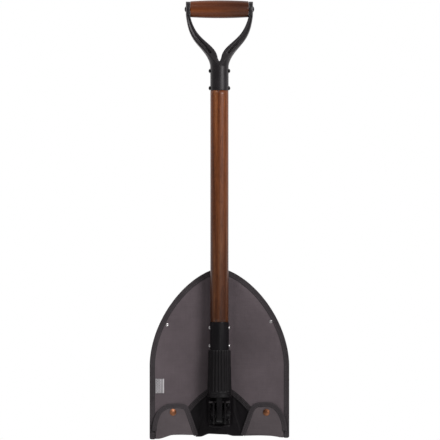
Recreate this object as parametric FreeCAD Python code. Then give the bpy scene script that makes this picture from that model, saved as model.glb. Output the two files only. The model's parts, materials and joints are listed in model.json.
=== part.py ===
"""Folding camp shovel, folded, with its blade in a canvas cover.

Millimetres. The shaft stands along +Z. The blade is folded up behind the shaft, on the +Y side,
with its hollow face towards the shaft. Heights in this file are counted from the lowest edge of
the cover, and save() drops every piece so that the origin is the point under the D-grip where a
hook bears.
"""
import FreeCAD, Part
import math
import os

V = FreeCAD.Vector

# ---- driving dimensions: the handle ----
SHAFT_R = 31.75 / 2
SHAFT_LOW = 203.0
SHAFT_HIGH = 607.0
TENON_R = 14.0
TENON_TOP = 655.0
LOWER_TENON_R = 14.6
LOWER_TENON_BOTTOM = 141.0

# ---- the D-yoke and the grip ----
YOKE_SLEEVE_R = 16.0
YOKE_BORE_R = TENON_R + 0.05
YOKE_SPLIT = 657.0
GRIP_HEIGHT = 748.7
GRIP_HALF_LENGTH = 51.1
GRIP_MID_R = 15.6
GRIP_END_R = 13.9
ARM_INNER = 51.3
ARM_OUTER = 58.6
ARM_EYE_R = 13.3
GRIP_BOLT_R = 3.0
GRIP_BOLT_HEAD_R = 5.25
GRIP_BOLT_DOME = 2.2
HOOK_HEIGHT = GRIP_HEIGHT - GRIP_MID_R

# ---- rivets through the sleeve and the ferrule ----
RIVET_R = 2.5
RIVET_HOLE_R = RIVET_R + 0.05
RIVET_DOME = 3.0
YOKE_RIVET_HEIGHTS = {"lower": 611.0, "upper": 641.1}
YOKE_RIVET_HEAD_R = 4.0
FERRULE_RIVET_HEIGHTS = {"lower": 161.8, "upper": 193.2}
FERRULE_RIVET_HEAD_R = 3.4

# ---- ferrule, threaded stub and tang ----
FERRULE_R = 16.5
FERRULE_BORE_R = 14.7
FERRULE_BOTTOM = 122.0
STUB_R = 15.0
STUB_BOTTOM = 71.0
PIN_HEIGHT = 45.3
PIN_R = 4.0
PIN_HOLE_R = PIN_R + 0.06
BUSH_R = 5.5
TANG_HALF = 5.0
TANG_HALF_DEPTH = 14.0
TANG_END_DROP = 3.0
SHOULDER_HALF = 8.4
SHOULDER_TOP = 20.4
SHOULDER_THICK = 2.8

# ---- locking collar ----
RING_BOTTOM = 72.4
RING_HEIGHT = 5.8
RING_BORE_R = 15.3
COLLAR_BOTTOM_R = 21.3
COLLAR_TOP_R = 19.3
COLLAR_BOTTOM = 78.5
COLLAR_TOP = 154.3
COLLAR_BORE_R = 16.9
COLLAR_NUT_HEIGHT = 32.0
FLUTES = 20
FLUTE_R = 1.7

# ---- hinge bracket ----
CHEEK_IN = 8.7
CHEEK_OUT = 11.5
CAM_FLAT = 19.8
CAM_HALF = 15.0
BRACKET_HALF = 18.5
BRACKET_BOTTOM = 25.5
BRACKET_TOP = 66.0
BRACKET_RIVET_X = 15.0
BRACKET_RIVET_HEIGHTS = (31.5, 57.0)

# ---- dished sheets: every layer is a shell about one upright axis in front of the blade ----
BLADE_FACE_Y = 25.2
BLADE_FACE_R = 260.0
BLADE_THICK = 2.0
CLOTH = 1.2
CLOTH_GAP = 0.8
DISH_AXIS_Y = BLADE_FACE_Y - BLADE_FACE_R
FRONT_IN = BLADE_FACE_R - CLOTH_GAP - CLOTH
FRONT_OUT = BLADE_FACE_R - CLOTH_GAP
BACK_IN = BLADE_FACE_R + BLADE_THICK + CLOTH_GAP
BACK_OUT = BACK_IN + CLOTH
BIND_IN = FRONT_IN - CLOTH
BIND_OUT = BACK_OUT + CLOTH
FLAP_OUT = BIND_IN - 0.3
FLAP_IN = FLAP_OUT - CLOTH
TAPE = 0.6
DOME_SEAT = 0.05

# ---- outline of the cover, seen from the front ----
COVER_HALF = 121.9
COVER_TIP = 297.0
COVER_FOOT = -1.6
FLANK_START = 127.5
RISE_POWER = 1.84
WIDTH_POWER = 1.55
BIND_WIDTH = 9.5
BIND_SLOT = 2.5
BLADE_INSET = 17.5
PANEL_BOTTOM = 13.5
BACK_BOTTOM = 8.2
BACK_NOTCH = 10.0
BLADE_BOTTOM = 8.0
LOBE_BOTTOM = 3.6
STEP_IN = FRONT_IN - 0.7
STEP_HEIGHT = 2.5

# ---- flaps, snaps and small trim ----
FLAP_STRIP_BOTTOM = 5.6
FLAP_NOTCH_TOP = 14.0
FLAP_STRIP_END = 110.6
FLAP_BAND = 8.5
ARCH_TOP = {"left": 60.5, "right": 62.8}
SNAP_X = {"left": 81.0, "right": 82.0}
SNAP_HEIGHT = 45.5
SNAP_R = 6.1
EDGE_RIVET = {"left": (91.0, 198.0), "right": (89.5, 204.0)}
EDGE_RIVET_HOLE_R = 1.65
EDGE_RIVET_HEAD_CLEAR_R = 3.15
LABEL_BOX = (-111.4, -96.5, 79.0, 104.0)


def save(name, shape):
    """Write one node, moved so that the hook point under the grip is the origin."""
    moved = shape.copy()
    moved.translate(V(0, 0, -HOOK_HEIGHT))
    moved.exportStep(os.path.join("parts", name + ".step"))


def rod(radius, start, end):
    """A round bar from one point to another."""
    along = end - start
    return Part.makeCylinder(radius, along.Length, start, along)


def tube(outer, inner, low, high):
    """An upright tube on the shaft's axis."""
    return rod(outer, V(0, 0, low), V(0, 0, high)).cut(rod(inner, V(0, 0, low - 1), V(0, 0, high + 1)))


def box(x0, x1, y0, y1, z0, z1):
    """A block given by its low and high sides."""
    return Part.makeBox(x1 - x0, y1 - y0, z1 - z0, V(x0, y0, z0))


def prism(points, depth=60.0):
    """A closed XZ outline of straight runs, extruded through the whole depth along Y."""
    ring = [V(x, -depth, z) for x, z in points]
    return Part.Face(Part.makePolygon(ring + [ring[0]])).extrude(V(0, 2 * depth, 0))


def shell(inner, outer, low=-5.0, high=300.0):
    """An upright curved wall between two radii about the dish axis."""
    centre = V(0, DISH_AXIS_Y, low)
    up = V(0, 0, 1)
    wall = Part.makeCylinder(outer, high - low, centre, up)
    return wall.cut(Part.makeCylinder(inner, high - low, centre, up))


def mirrored(shape):
    """The same piece on the other side of the shaft."""
    return shape.mirror(V(0, 0, 0), V(1, 0, 0))


def domed_pin(radius, head_r, half_span, height):
    """A cross rivet along X with a domed head outside each end of its span."""
    pin = rod(radius, V(-half_span, 0, height), V(half_span, 0, height))
    for side in (-1, 1):
        pin = pin.fuse(dome_cap(head_r, RIVET_DOME, V(side * half_span, 0, height), V(side, 0, 0)))
    return pin


def dome_cap(radius, height, base, outward):
    """A shallow spherical cap standing on a base point."""
    ball_r = (radius ** 2 + height ** 2) / (2 * height)
    centre = base - outward * (ball_r - height)
    keep = Part.makeCylinder(radius, height + 0.01, base, outward)
    return Part.makeSphere(ball_r, centre).common(keep)


# ---- outline of the pointed round top ----

def rim_point(turn, inset):
    """Point on the cover's round top at a turn of 0 (flank) to 90 degrees (tip), moved inwards."""
    here = flank(turn)
    step = 0.001
    ahead = flank(min(turn + step, math.pi / 2))
    behind = flank(max(turn - step, 0.0))
    along = (ahead - behind).normalize()
    return V(here.x - along.z * inset, 0, here.z + along.x * inset)


def flank(turn):
    """Rounded flank: a power curve that starts upright and ends level at the tip."""
    rise = math.sin(turn) ** (2 / RISE_POWER)
    width = max(math.cos(turn), 0.0) ** (2 / WIDTH_POWER)
    return V(COVER_HALF * width, 0, FLANK_START + (COVER_TIP - FLANK_START) * rise)


def outline(inset, bottom, depth=60.0):
    """The cover's whole outline, moved inwards, with a straight bottom, as a prism along Y."""
    count = 14
    half = [rim_point(math.pi / 2 * (i + 1) / count, inset) for i in range(count - 1)]
    side = COVER_HALF - inset
    tip = V(0, 0, COVER_TIP - inset)
    right = [V(side, 0, FLANK_START)] + half
    left = [V(-p.x, 0, p.z) for p in reversed(right)]
    curve = Part.BSplineCurve()
    curve.interpolate(Points=right + [tip] + left, InitialTangent=V(0, 0, 1), FinalTangent=V(0, 0, -1))
    corners = [V(-side, 0, FLANK_START), V(-side, 0, bottom), V(side, 0, bottom), V(side, 0, FLANK_START)]
    edges = [curve.toShape()] + [Part.makeLine(a, b) for a, b in zip(corners, corners[1:])]
    face = Part.Face(Part.Wire(edges))
    face.translate(V(0, -depth, 0))
    return face.extrude(V(0, 2 * depth, 0))


# ---- handle pieces ----

def shaft():
    wood = rod(SHAFT_R, V(0, 0, SHAFT_LOW), V(0, 0, SHAFT_HIGH))
    wood = wood.fuse(rod(TENON_R, V(0, 0, SHAFT_HIGH), V(0, 0, TENON_TOP)))
    wood = wood.fuse(rod(LOWER_TENON_R, V(0, 0, LOWER_TENON_BOTTOM), V(0, 0, SHAFT_LOW)))
    for height in list(YOKE_RIVET_HEIGHTS.values()) + list(FERRULE_RIVET_HEIGHTS.values()):
        wood = wood.cut(rod(RIVET_HOLE_R, V(-20, 0, height), V(20, 0, height)))
    return wood


def spline(points):
    curve = Part.BSplineCurve()
    curve.interpolate([V(*p) for p in points])
    return curve.toShape()


ARM_OUTSIDE = [(58.6, 738), (56.2, 723), (52.0, 708.5), (44.9, 695), (33.6, 681), (22.8, 667), (16.0, 650)]
ARM_INSIDE = [(51.3, 738), (45.9, 721), (37.2, 706), (26.2, 694.5), (16.2, 685.6), (7.6, 675.8), (2.9, 663)]


def arm_profile():
    """Right arm seen from the front: a strip at the eye that widens into half of the sleeve."""
    outside = [(x, 0, z) for x, z in ARM_OUTSIDE]
    inside = [(x, 0, z) for x, z in reversed(ARM_INSIDE)]
    top = [V(ARM_INNER, 0, 738), V(ARM_INNER, 0, 765), V(ARM_OUTER, 0, 765), V(ARM_OUTER, 0, 738)]
    crotch = ARM_INSIDE[-1]
    foot = [V(16.0, 0, 650), V(0, 0, 650), V(0, 0, YOKE_SPLIT), V(crotch[0], 0, crotch[1])]
    edges = [spline(outside), spline(inside)]
    edges += [Part.makeLine(a, b) for a, b in zip(top, top[1:])]
    edges += [Part.makeLine(a, b) for a, b in zip(foot, foot[1:])]
    return Part.Face(Part.Wire(Part.__sortEdges__(edges)))


def arm_side():
    """Both arms seen from the side: narrow at the neck, with a round eye about the grip bolt."""
    low = [(0, 16.0, 645), (0, 15.6, 660), (0, 12.0, 690), (0, 10.6, 718), (0, 12.6, 742)]
    rear = spline(low)
    front = spline([(0, -y, z) for _, y, z in low])
    bottom = Part.makeLine(V(0, -16.0, 645), V(0, 16.0, 645))
    crown = Part.Arc(V(0, 12.6, 742), V(0, 0, GRIP_HEIGHT + ARM_EYE_R), V(0, -12.6, 742)).toShape()
    return Part.Face(Part.Wire(Part.__sortEdges__([rear, crown, front, bottom])))


def arm_envelope():
    """Round body turned from the arm's outside, which rounds the roots of the arms into the sleeve."""
    outside = spline([(x, 0, z) for x, z in ARM_OUTSIDE])
    corners = [V(16.0, 0, 650), V(0, 0, 650), V(0, 0, 770), V(ARM_OUTER, 0, 770), V(ARM_OUTER, 0, 738)]
    edges = [outside] + [Part.makeLine(a, b) for a, b in zip(corners, corners[1:])]
    face = Part.Face(Part.Wire(Part.__sortEdges__(edges)))
    return face.revolve(V(0, 0, 0), V(0, 0, 1), 360)


def arm_groove():
    """A lengthwise crease down the middle of the arm, cut from the front and from the back."""
    middle = [((a[0] + b[0]) / 2, (a[1] + b[1]) / 2) for a, b in zip(ARM_OUTSIDE[:-1], ARM_INSIDE[:-1])]
    half = 1.3
    one = spline([(x - half, 0, z + half * 0.6) for x, z in middle])
    other = spline([(x + half, 0, z - half * 0.6) for x, z in middle])
    ends = [(x.Vertexes[i].Point, y.Vertexes[i].Point) for x, y in ((one, other),) for i in (0, 1)]
    edges = [one, other] + [Part.makeLine(a, b) for a, b in ends]
    face = Part.Face(Part.Wire(Part.__sortEdges__(edges)))
    return face.extrude(V(0, 20, 0))


def yoke():
    face = arm_profile()
    face.translate(V(0, -20, 0))
    arm = face.extrude(V(0, 40, 0))
    side = arm_side()
    side.translate(V(-1, 0, 0))
    arm = arm.common(side.extrude(V(70, 0, 0))).common(arm_envelope())
    groove = arm_groove()
    for y in (9.6, -29.6):
        cutter = groove.copy()
        cutter.translate(V(0, y, 0))
        arm = arm.cut(cutter)
    sleeve = rod(YOKE_SLEEVE_R, V(0, 0, SHAFT_HIGH), V(0, 0, YOKE_SPLIT))
    body = sleeve.fuse([arm, mirrored(arm)]).removeSplitter()
    body = body.cut(rod(YOKE_BORE_R, V(0, 0, SHAFT_HIGH - 1), V(0, 0, TENON_TOP)))
    for height in YOKE_RIVET_HEIGHTS.values():
        body = body.cut(rod(RIVET_HOLE_R, V(-20, 0, height), V(20, 0, height)))
    bolt_hole = rod(GRIP_BOLT_R + 0.05, V(-70, 0, GRIP_HEIGHT), V(70, 0, GRIP_HEIGHT))
    return body.cut(bolt_hole)


def grip():
    """Wooden barrel between the arms, fullest in the middle and eased at both ends."""
    ease = 2.8
    inner_end = GRIP_HALF_LENGTH - ease
    start = V(-GRIP_HALF_LENGTH, 0, GRIP_HEIGHT + GRIP_END_R - ease)
    shoulder = V(-inner_end, 0, GRIP_HEIGHT + GRIP_END_R)
    belly = V(0, 0, GRIP_HEIGHT + GRIP_MID_R)
    far_shoulder = V(inner_end, 0, shoulder.z)
    far_end = V(GRIP_HALF_LENGTH, 0, start.z)
    low_end = V(GRIP_HALF_LENGTH, 0, GRIP_HEIGHT)
    low_start = V(-GRIP_HALF_LENGTH, 0, GRIP_HEIGHT)
    edges = [Part.makeLine(start, shoulder), Part.Arc(shoulder, belly, far_shoulder).toShape()]
    edges += [Part.makeLine(far_shoulder, far_end), Part.makeLine(far_end, low_end)]
    edges += [Part.makeLine(low_end, low_start), Part.makeLine(low_start, start)]
    barrel = Part.Face(Part.Wire(edges)).revolve(V(0, 0, GRIP_HEIGHT), V(1, 0, 0), 360)
    return barrel.cut(rod(GRIP_BOLT_R + 0.1, V(-60, 0, GRIP_HEIGHT), V(60, 0, GRIP_HEIGHT)))


def grip_bolt():
    pin = rod(GRIP_BOLT_R, V(-ARM_OUTER, 0, GRIP_HEIGHT), V(ARM_OUTER - 5.0, 0, GRIP_HEIGHT))
    return pin.fuse(dome_cap(GRIP_BOLT_HEAD_R, GRIP_BOLT_DOME, V(-ARM_OUTER, 0, GRIP_HEIGHT), V(-1, 0, 0)))


def grip_nut():
    """Domed sleeve nut that closes on the end of the grip bolt."""
    pin = rod(GRIP_BOLT_R, V(ARM_OUTER - 4.9, 0, GRIP_HEIGHT), V(ARM_OUTER, 0, GRIP_HEIGHT))
    return pin.fuse(dome_cap(GRIP_BOLT_HEAD_R, GRIP_BOLT_DOME, V(ARM_OUTER, 0, GRIP_HEIGHT), V(1, 0, 0)))


def ferrule():
    body = tube(FERRULE_R, FERRULE_BORE_R, FERRULE_BOTTOM, SHAFT_LOW)
    for height in FERRULE_RIVET_HEIGHTS.values():
        body = body.cut(rod(RIVET_HOLE_R, V(-20, 0, height), V(20, 0, height)))
    return body


def hinge_stub():
    """Threaded stub welded in the ferrule, running down into the flat tang that takes the pivot."""
    body = rod(STUB_R, V(0, 0, STUB_BOTTOM), V(0, 0, FERRULE_BOTTOM - 0.1))
    body = body.fuse(rod(LOWER_TENON_R, V(0, 0, FERRULE_BOTTOM - 0.1), V(0, 0, LOWER_TENON_BOTTOM - 1.0)))
    end_height = PIN_HEIGHT - TANG_END_DROP
    tang = box(-TANG_HALF, TANG_HALF, -TANG_HALF_DEPTH, TANG_HALF_DEPTH, end_height, STUB_BOTTOM)
    end = rod(TANG_HALF_DEPTH, V(-TANG_HALF, 0, end_height), V(TANG_HALF, 0, end_height))
    top = PIN_HEIGHT + SHOULDER_TOP
    shoulder = box(-SHOULDER_HALF, SHOULDER_HALF, -11, 11, top - SHOULDER_THICK, top)
    body = body.fuse([tang, end, shoulder]).removeSplitter()
    return body.cut(rod(BUSH_R, V(-10, 0, PIN_HEIGHT), V(10, 0, PIN_HEIGHT)))


def pivot_ring(outer, x0, x1):
    """A plain ring on the pivot bolt between two planes."""
    ring = rod(outer, V(x0, 0, PIN_HEIGHT), V(x1, 0, PIN_HEIGHT))
    return ring.cut(rod(PIN_HOLE_R, V(x0 - 1, 0, PIN_HEIGHT), V(x1 + 1, 0, PIN_HEIGHT)))


def pivot_bolt():
    head_face = -CHEEK_OUT - 0.2
    pin = rod(PIN_R, V(head_face - 0.1, 0, PIN_HEIGHT), V(20.0, 0, PIN_HEIGHT))
    head = dome_cap(6.6, 4.6, V(head_face, 0, PIN_HEIGHT), V(-1, 0, 0))
    return pin.fuse(head)


def hexagon(across_flats, x0, x1, height):
    radius = across_flats / math.sqrt(3)
    turns = [math.radians(60 * i) for i in range(6)]
    ring = [V(x0, radius * math.sin(t), height + radius * math.cos(t)) for t in turns]
    return Part.Face(Part.makePolygon(ring + [ring[0]])).extrude(V(x1 - x0, 0, 0))


def pivot_nut():
    nut = hexagon(12.0, CHEEK_OUT + 0.2, CHEEK_OUT + 6.7, PIN_HEIGHT)
    cone_tip = V(CHEEK_OUT + 17.5, 0, PIN_HEIGHT)
    chamfer = Part.makeCone(13.0, 0.5, 17.0, cone_tip - V(17.0, 0, 0), V(1, 0, 0))
    nut = nut.common(chamfer)
    return nut.cut(rod(PIN_R + 0.02, V(0, 0, PIN_HEIGHT), V(30, 0, PIN_HEIGHT)))


def thrust_ring():
    ring = tube(COLLAR_BOTTOM_R, RING_BORE_R, RING_BOTTOM, RING_BOTTOM + RING_HEIGHT)
    rims = [e for e in ring.Edges if abs(e.Length - 2 * math.pi * COLLAR_BOTTOM_R) < 0.5]
    return ring.makeFillet(0.9, rims)


def collar_sleeve():
    """Tapered grip sleeve with upright flutes between its ribs."""
    height = COLLAR_TOP - COLLAR_BOTTOM
    body = Part.makeCone(COLLAR_BOTTOM_R, COLLAR_TOP_R, height, V(0, 0, COLLAR_BOTTOM), V(0, 0, 1))
    lean = COLLAR_BOTTOM_R - COLLAR_TOP_R
    cutters = []
    for i in range(FLUTES):
        turn = 2 * math.pi * (i + 0.5) / FLUTES
        out = V(math.cos(turn), math.sin(turn), 0)
        low = out * (COLLAR_BOTTOM_R + 0.75) + V(0, 0, COLLAR_BOTTOM + 3.0)
        high = out * (COLLAR_BOTTOM_R + 0.75 - lean) + V(0, 0, COLLAR_TOP + 1.0)
        cutters.append(rod(FLUTE_R, low, high))
        cutters.append(Part.makeSphere(FLUTE_R, low))
    body = body.cut(Part.makeCompound(cutters))
    return body.cut(rod(COLLAR_BORE_R, V(0, 0, COLLAR_BOTTOM - 1), V(0, 0, COLLAR_TOP + 1)))


def collar_nut():
    return tube(COLLAR_BORE_R - 0.02, RING_BORE_R, COLLAR_BOTTOM, COLLAR_BOTTOM + COLLAR_NUT_HEIGHT)


# ---- blade and hinge bracket ----

def blade():
    plate = shell(BLADE_FACE_R, BLADE_FACE_R + BLADE_THICK).common(outline(BLADE_INSET, LOBE_BOTTOM))
    gap = LOBE_BOTTOM - 2
    side = COVER_HALF
    below = prism([(-side, gap), (side, gap), (side, BLADE_BOTTOM), (44, BLADE_BOTTOM), (40, LOBE_BOTTOM),
                   (25, LOBE_BOTTOM), (21, BLADE_BOTTOM), (-21, BLADE_BOTTOM), (-25, LOBE_BOTTOM),
                   (-40, LOBE_BOTTOM), (-44, BLADE_BOTTOM), (-side, BLADE_BOTTOM)])
    plate = plate.cut(below)
    for sign in (-1, 1):
        near, far = sorted((sign * 46.0, sign * 98.0))
        ledge = shell(STEP_IN, BLADE_FACE_R + 0.5, BLADE_BOTTOM, BLADE_BOTTOM + STEP_HEIGHT)
        plate = plate.fuse(ledge.common(box(near, far, -60, 60, 0, 30)))
    bead_height = 20.5
    bead = rod(3.2, V(-19, BLADE_FACE_Y, bead_height), V(19, BLADE_FACE_Y, bead_height))
    bead = bead.fuse([Part.makeSphere(3.2, V(x, BLADE_FACE_Y, bead_height)) for x in (-19, 19)])
    front_half = Part.makeCylinder(BLADE_FACE_R + 1.0, 40, V(0, DISH_AXIS_Y, 0), V(0, 0, 1))
    plate = plate.fuse(bead.common(front_half)).removeSplitter()
    for x, height in bracket_rivet_places():
        plate = plate.cut(dish_rod(2.05, x, height, BLADE_FACE_R - 8, BLADE_FACE_R + 8))
    return plate


def dish_rod(radius, x, height, r_in, r_out):
    """A round bar square to the dished sheets at one place, between two of their radii."""
    lean = math.asin(x / BLADE_FACE_R)
    out = V(math.sin(lean), math.cos(lean), 0)
    axis = V(0, DISH_AXIS_Y, height)
    return rod(radius, axis + out * r_in, axis + out * r_out)


def dish_dome(radius, x, height, r_base, rise):
    """A domed head on the hollow side of the dished sheets."""
    lean = math.asin(x / BLADE_FACE_R)
    out = V(math.sin(lean), math.cos(lean), 0)
    return dome_cap(radius, rise, V(0, DISH_AXIS_Y, height) + out * r_base, out * -1)


def bracket_rivet_places():
    return [(x, z) for x in (-BRACKET_RIVET_X, BRACKET_RIVET_X) for z in BRACKET_RIVET_HEIGHTS]


def cam_cheek():
    """One cheek: flats towards the three locking directions and round corners between them."""
    rear = BLADE_FACE_Y - 1.6
    corner = math.hypot(CAM_FLAT, CAM_HALF) * math.sqrt(0.5)
    p = [V(0, rear, CAM_FLAT), V(0, -CAM_HALF, CAM_FLAT), V(0, -CAM_FLAT, CAM_HALF),
         V(0, -CAM_FLAT, -CAM_HALF), V(0, -CAM_HALF, -CAM_FLAT), V(0, rear, -CAM_FLAT)]
    edges = [Part.makeLine(p[0], p[1]), Part.Arc(p[1], V(0, -corner, corner), p[2]).toShape()]
    edges += [Part.makeLine(p[2], p[3]), Part.Arc(p[3], V(0, -corner, -corner), p[4]).toShape()]
    edges += [Part.makeLine(p[4], p[5]), Part.makeLine(p[5], p[0])]
    face = Part.Face(Part.Wire(edges))
    face.translate(V(CHEEK_IN, 0, PIN_HEIGHT))
    return face.extrude(V(CHEEK_OUT - CHEEK_IN, 0, 0))


def hinge_bracket():
    base = shell(BLADE_FACE_R - 3.0, BLADE_FACE_R - 0.03, BRACKET_BOTTOM, BRACKET_TOP)
    base = base.common(box(-BRACKET_HALF, BRACKET_HALF, 0, 60, 0, 100))
    top = PIN_HEIGHT + CAM_FLAT
    flange = box(CHEEK_OUT - 0.5, BRACKET_HALF, -12, BLADE_FACE_Y - 2.0, top - 2.8, top)
    right = cam_cheek().fuse(flange)
    body = base.fuse([right, mirrored(right)]).removeSplitter()
    body = body.cut(rod(PIN_HOLE_R, V(-30, 0, PIN_HEIGHT), V(30, 0, PIN_HEIGHT)))
    for x, height in bracket_rivet_places():
        body = body.cut(dish_rod(2.05, x, height, BLADE_FACE_R - 8, BLADE_FACE_R + 8))
    return body


def bracket_rivets():
    solids = []
    for x, height in bracket_rivet_places():
        stem = dish_rod(2.0, x, height, BLADE_FACE_R - 3.0, BLADE_FACE_R + BLADE_THICK)
        solids.append(stem.fuse(dish_dome(3.0, x, height, BLADE_FACE_R - 3.0 - DOME_SEAT, 1.6)))
    return Part.makeCompound(solids)


# ---- canvas cover ----

OPENING = [(-13.5, 80.0), (-51.0, 45.5), (-44.0, -5.0), (44.0, -5.0), (51.0, 45.5), (13.5, 80.0)]
OPENING_BAND = [(-17.0, 89.0), (-62.5, 47.5), (-51.0, 45.5), (-13.5, 80.0), (13.5, 80.0), (51.0, 45.5),
                (62.5, 47.5), (17.0, 89.0)]


def edge_rivet_holes(shape, radius):
    for side, sign in (("left", -1), ("right", 1)):
        x, height = EDGE_RIVET[side]
        shape = shape.cut(dish_rod(radius, sign * x, height, BIND_IN - 5, BIND_OUT + 5))
    return shape


def cover_front():
    panel = shell(FRONT_IN, FRONT_OUT).common(outline(BIND_SLOT + 0.1, PANEL_BOTTOM))
    return edge_rivet_holes(panel.cut(prism(OPENING)), EDGE_RIVET_HOLE_R)


def cover_back():
    panel = shell(BACK_IN, BACK_OUT).common(outline(BIND_SLOT + 0.1, BACK_BOTTOM))
    panel = panel.cut(box(-42, 42, -60, 60, 0, BACK_NOTCH))
    return edge_rivet_holes(panel, EDGE_RIVET_HOLE_R)


def cover_edge_binding():
    """Tape folded over the joined edges of the front and back panels."""
    band = shell(BIND_IN, BIND_OUT).common(outline(0.0, COVER_FOOT).cut(outline(BIND_WIDTH, COVER_FOOT - 2.0)))
    slot = shell(FRONT_IN - 0.03, BACK_OUT + 0.03).common(outline(BIND_SLOT, BACK_BOTTOM - 0.1))
    return edge_rivet_holes(band.cut(slot), EDGE_RIVET_HEAD_CLEAR_R)


def cover_opening_binding():
    band = shell(BIND_IN, FRONT_IN - 0.02).common(prism(OPENING_BAND))
    return band


def flap_outline(side, inset):
    """Right-hand outline of a flap's face: slanted inner side, arched top, upright outer side."""
    top = ARCH_TOP[side] - inset
    lower = FLAP_STRIP_BOTTOM
    start = V(36.5 + inset * 1.25, 0, lower)
    hip = V(51.0 + inset * 1.1, 0, 47.5 - inset * 0.2)
    crown_in = V(64.5 + inset * 0.2, 0, top)
    crown_out = V(89.0 - inset * 0.3, 0, top)
    shoulder = V(106.0 - inset * 0.9, 0, 49.0 - inset * 0.5)
    outer = V(118.4 - inset, 0, 26.0 - inset * 0.2)
    foot = V(118.4 - inset, 0, lower)
    corner = (hip + crown_in) * 0.5 + V(-1.9, 0, 1.9)
    bend = (crown_out + shoulder) * 0.5 + V(2.0, 0, 2.0)
    edges = [Part.makeLine(foot, start), Part.makeLine(start, hip)]
    edges += [Part.Arc(hip, corner, crown_in).toShape(), Part.makeLine(crown_in, crown_out)]
    edges += [Part.Arc(crown_out, bend, shoulder).toShape()]
    edges += [Part.Arc(shoulder, (shoulder + outer) * 0.5 + V(1.2, 0, 0.6), outer).toShape()]
    edges += [Part.makeLine(outer, foot)]
    face = Part.Face(Part.Wire(edges))
    face.translate(V(0, -60, 0))
    return face.extrude(V(0, 120, 0))


def flap(side):
    """Flap that wraps from the back, under the blade's step, and up over the front panel."""
    notch = box(FLAP_STRIP_END, 130, -60, 60, 0, FLAP_NOTCH_TOP)
    face = shell(FLAP_IN, FLAP_OUT).common(flap_outline(side, 0.0)).cut(notch)
    strip = shell(FLAP_IN, BIND_OUT, FLAP_STRIP_BOTTOM, FLAP_STRIP_BOTTOM + CLOTH)
    strip = strip.common(box(45.0, FLAP_STRIP_END, -60, 60, 0, 20))
    body = face.fuse(strip).removeSplitter()
    x = SNAP_X[side]
    body = body.cut(dish_rod(2.0, x, SNAP_HEIGHT, FLAP_IN - 5, FLAP_OUT + 5))
    return body if side == "right" else mirrored(body)


def flap_binding(side):
    notch = box(FLAP_STRIP_END, 130, -60, 60, 0, FLAP_NOTCH_TOP)
    low = box(-10, 200, -70, 70, -20, FLAP_STRIP_BOTTOM + CLOTH)
    band = flap_outline(side, 0.0).cut([flap_outline(side, FLAP_BAND), notch, low])
    tape = shell(FLAP_IN - TAPE, FLAP_IN - 0.02).common(band)
    return tape if side == "right" else mirrored(tape)


def snap_cap(side):
    """Domed cap on the outside of the flap, with the stem that closes the socket on."""
    x = SNAP_X[side]
    cap = dish_dome(SNAP_R, x, SNAP_HEIGHT, FLAP_IN - 2 * DOME_SEAT, 2.2)
    cap = cap.fuse(dish_rod(1.9, x, SNAP_HEIGHT, FLAP_IN - 2 * DOME_SEAT, FLAP_OUT + 0.05))
    return cap if side == "right" else mirrored(cap)


def snap_socket(side):
    x = SNAP_X[side]
    ring = dish_rod(5.6, x, SNAP_HEIGHT, FLAP_OUT + 0.05, FLAP_OUT + 0.75)
    ring = ring.cut(dish_rod(3.2, x, SNAP_HEIGHT, FLAP_OUT - 1, FLAP_OUT + 2))
    return ring if side == "right" else mirrored(ring)


def snap_stud(side):
    x = SNAP_X[side]
    stud = dish_rod(4.8, x, SNAP_HEIGHT, FRONT_IN - 0.5, FRONT_IN - 0.04)
    stud = stud.fuse(dish_rod(2.0, x, SNAP_HEIGHT, FRONT_IN - 1.2, FRONT_IN - 0.5))
    return stud if side == "right" else mirrored(stud)


def edge_rivet(side):
    """Small tubular rivet that nips the two panels together outside the blade's edge."""
    x, height = EDGE_RIVET[side]
    body = dish_rod(1.6, x, height, FRONT_IN, BACK_OUT)
    body = body.fuse(dish_dome(3.0, x, height, FRONT_IN - 0.03, 1.1))
    body = body.fuse(dish_rod(2.8, x, height, BACK_OUT + 0.03, BACK_OUT + 0.6))
    body = body.fuse(dish_rod(1.6, x, height, FRONT_IN - 0.1, BACK_OUT + 0.1))
    return body if side == "right" else mirrored(body)


def label():
    x0, x1, low, high = LABEL_BOX
    return shell(FRONT_IN - 0.6, FRONT_IN - 0.04).common(box(x0, x1, -60, 60, low, high))


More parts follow.
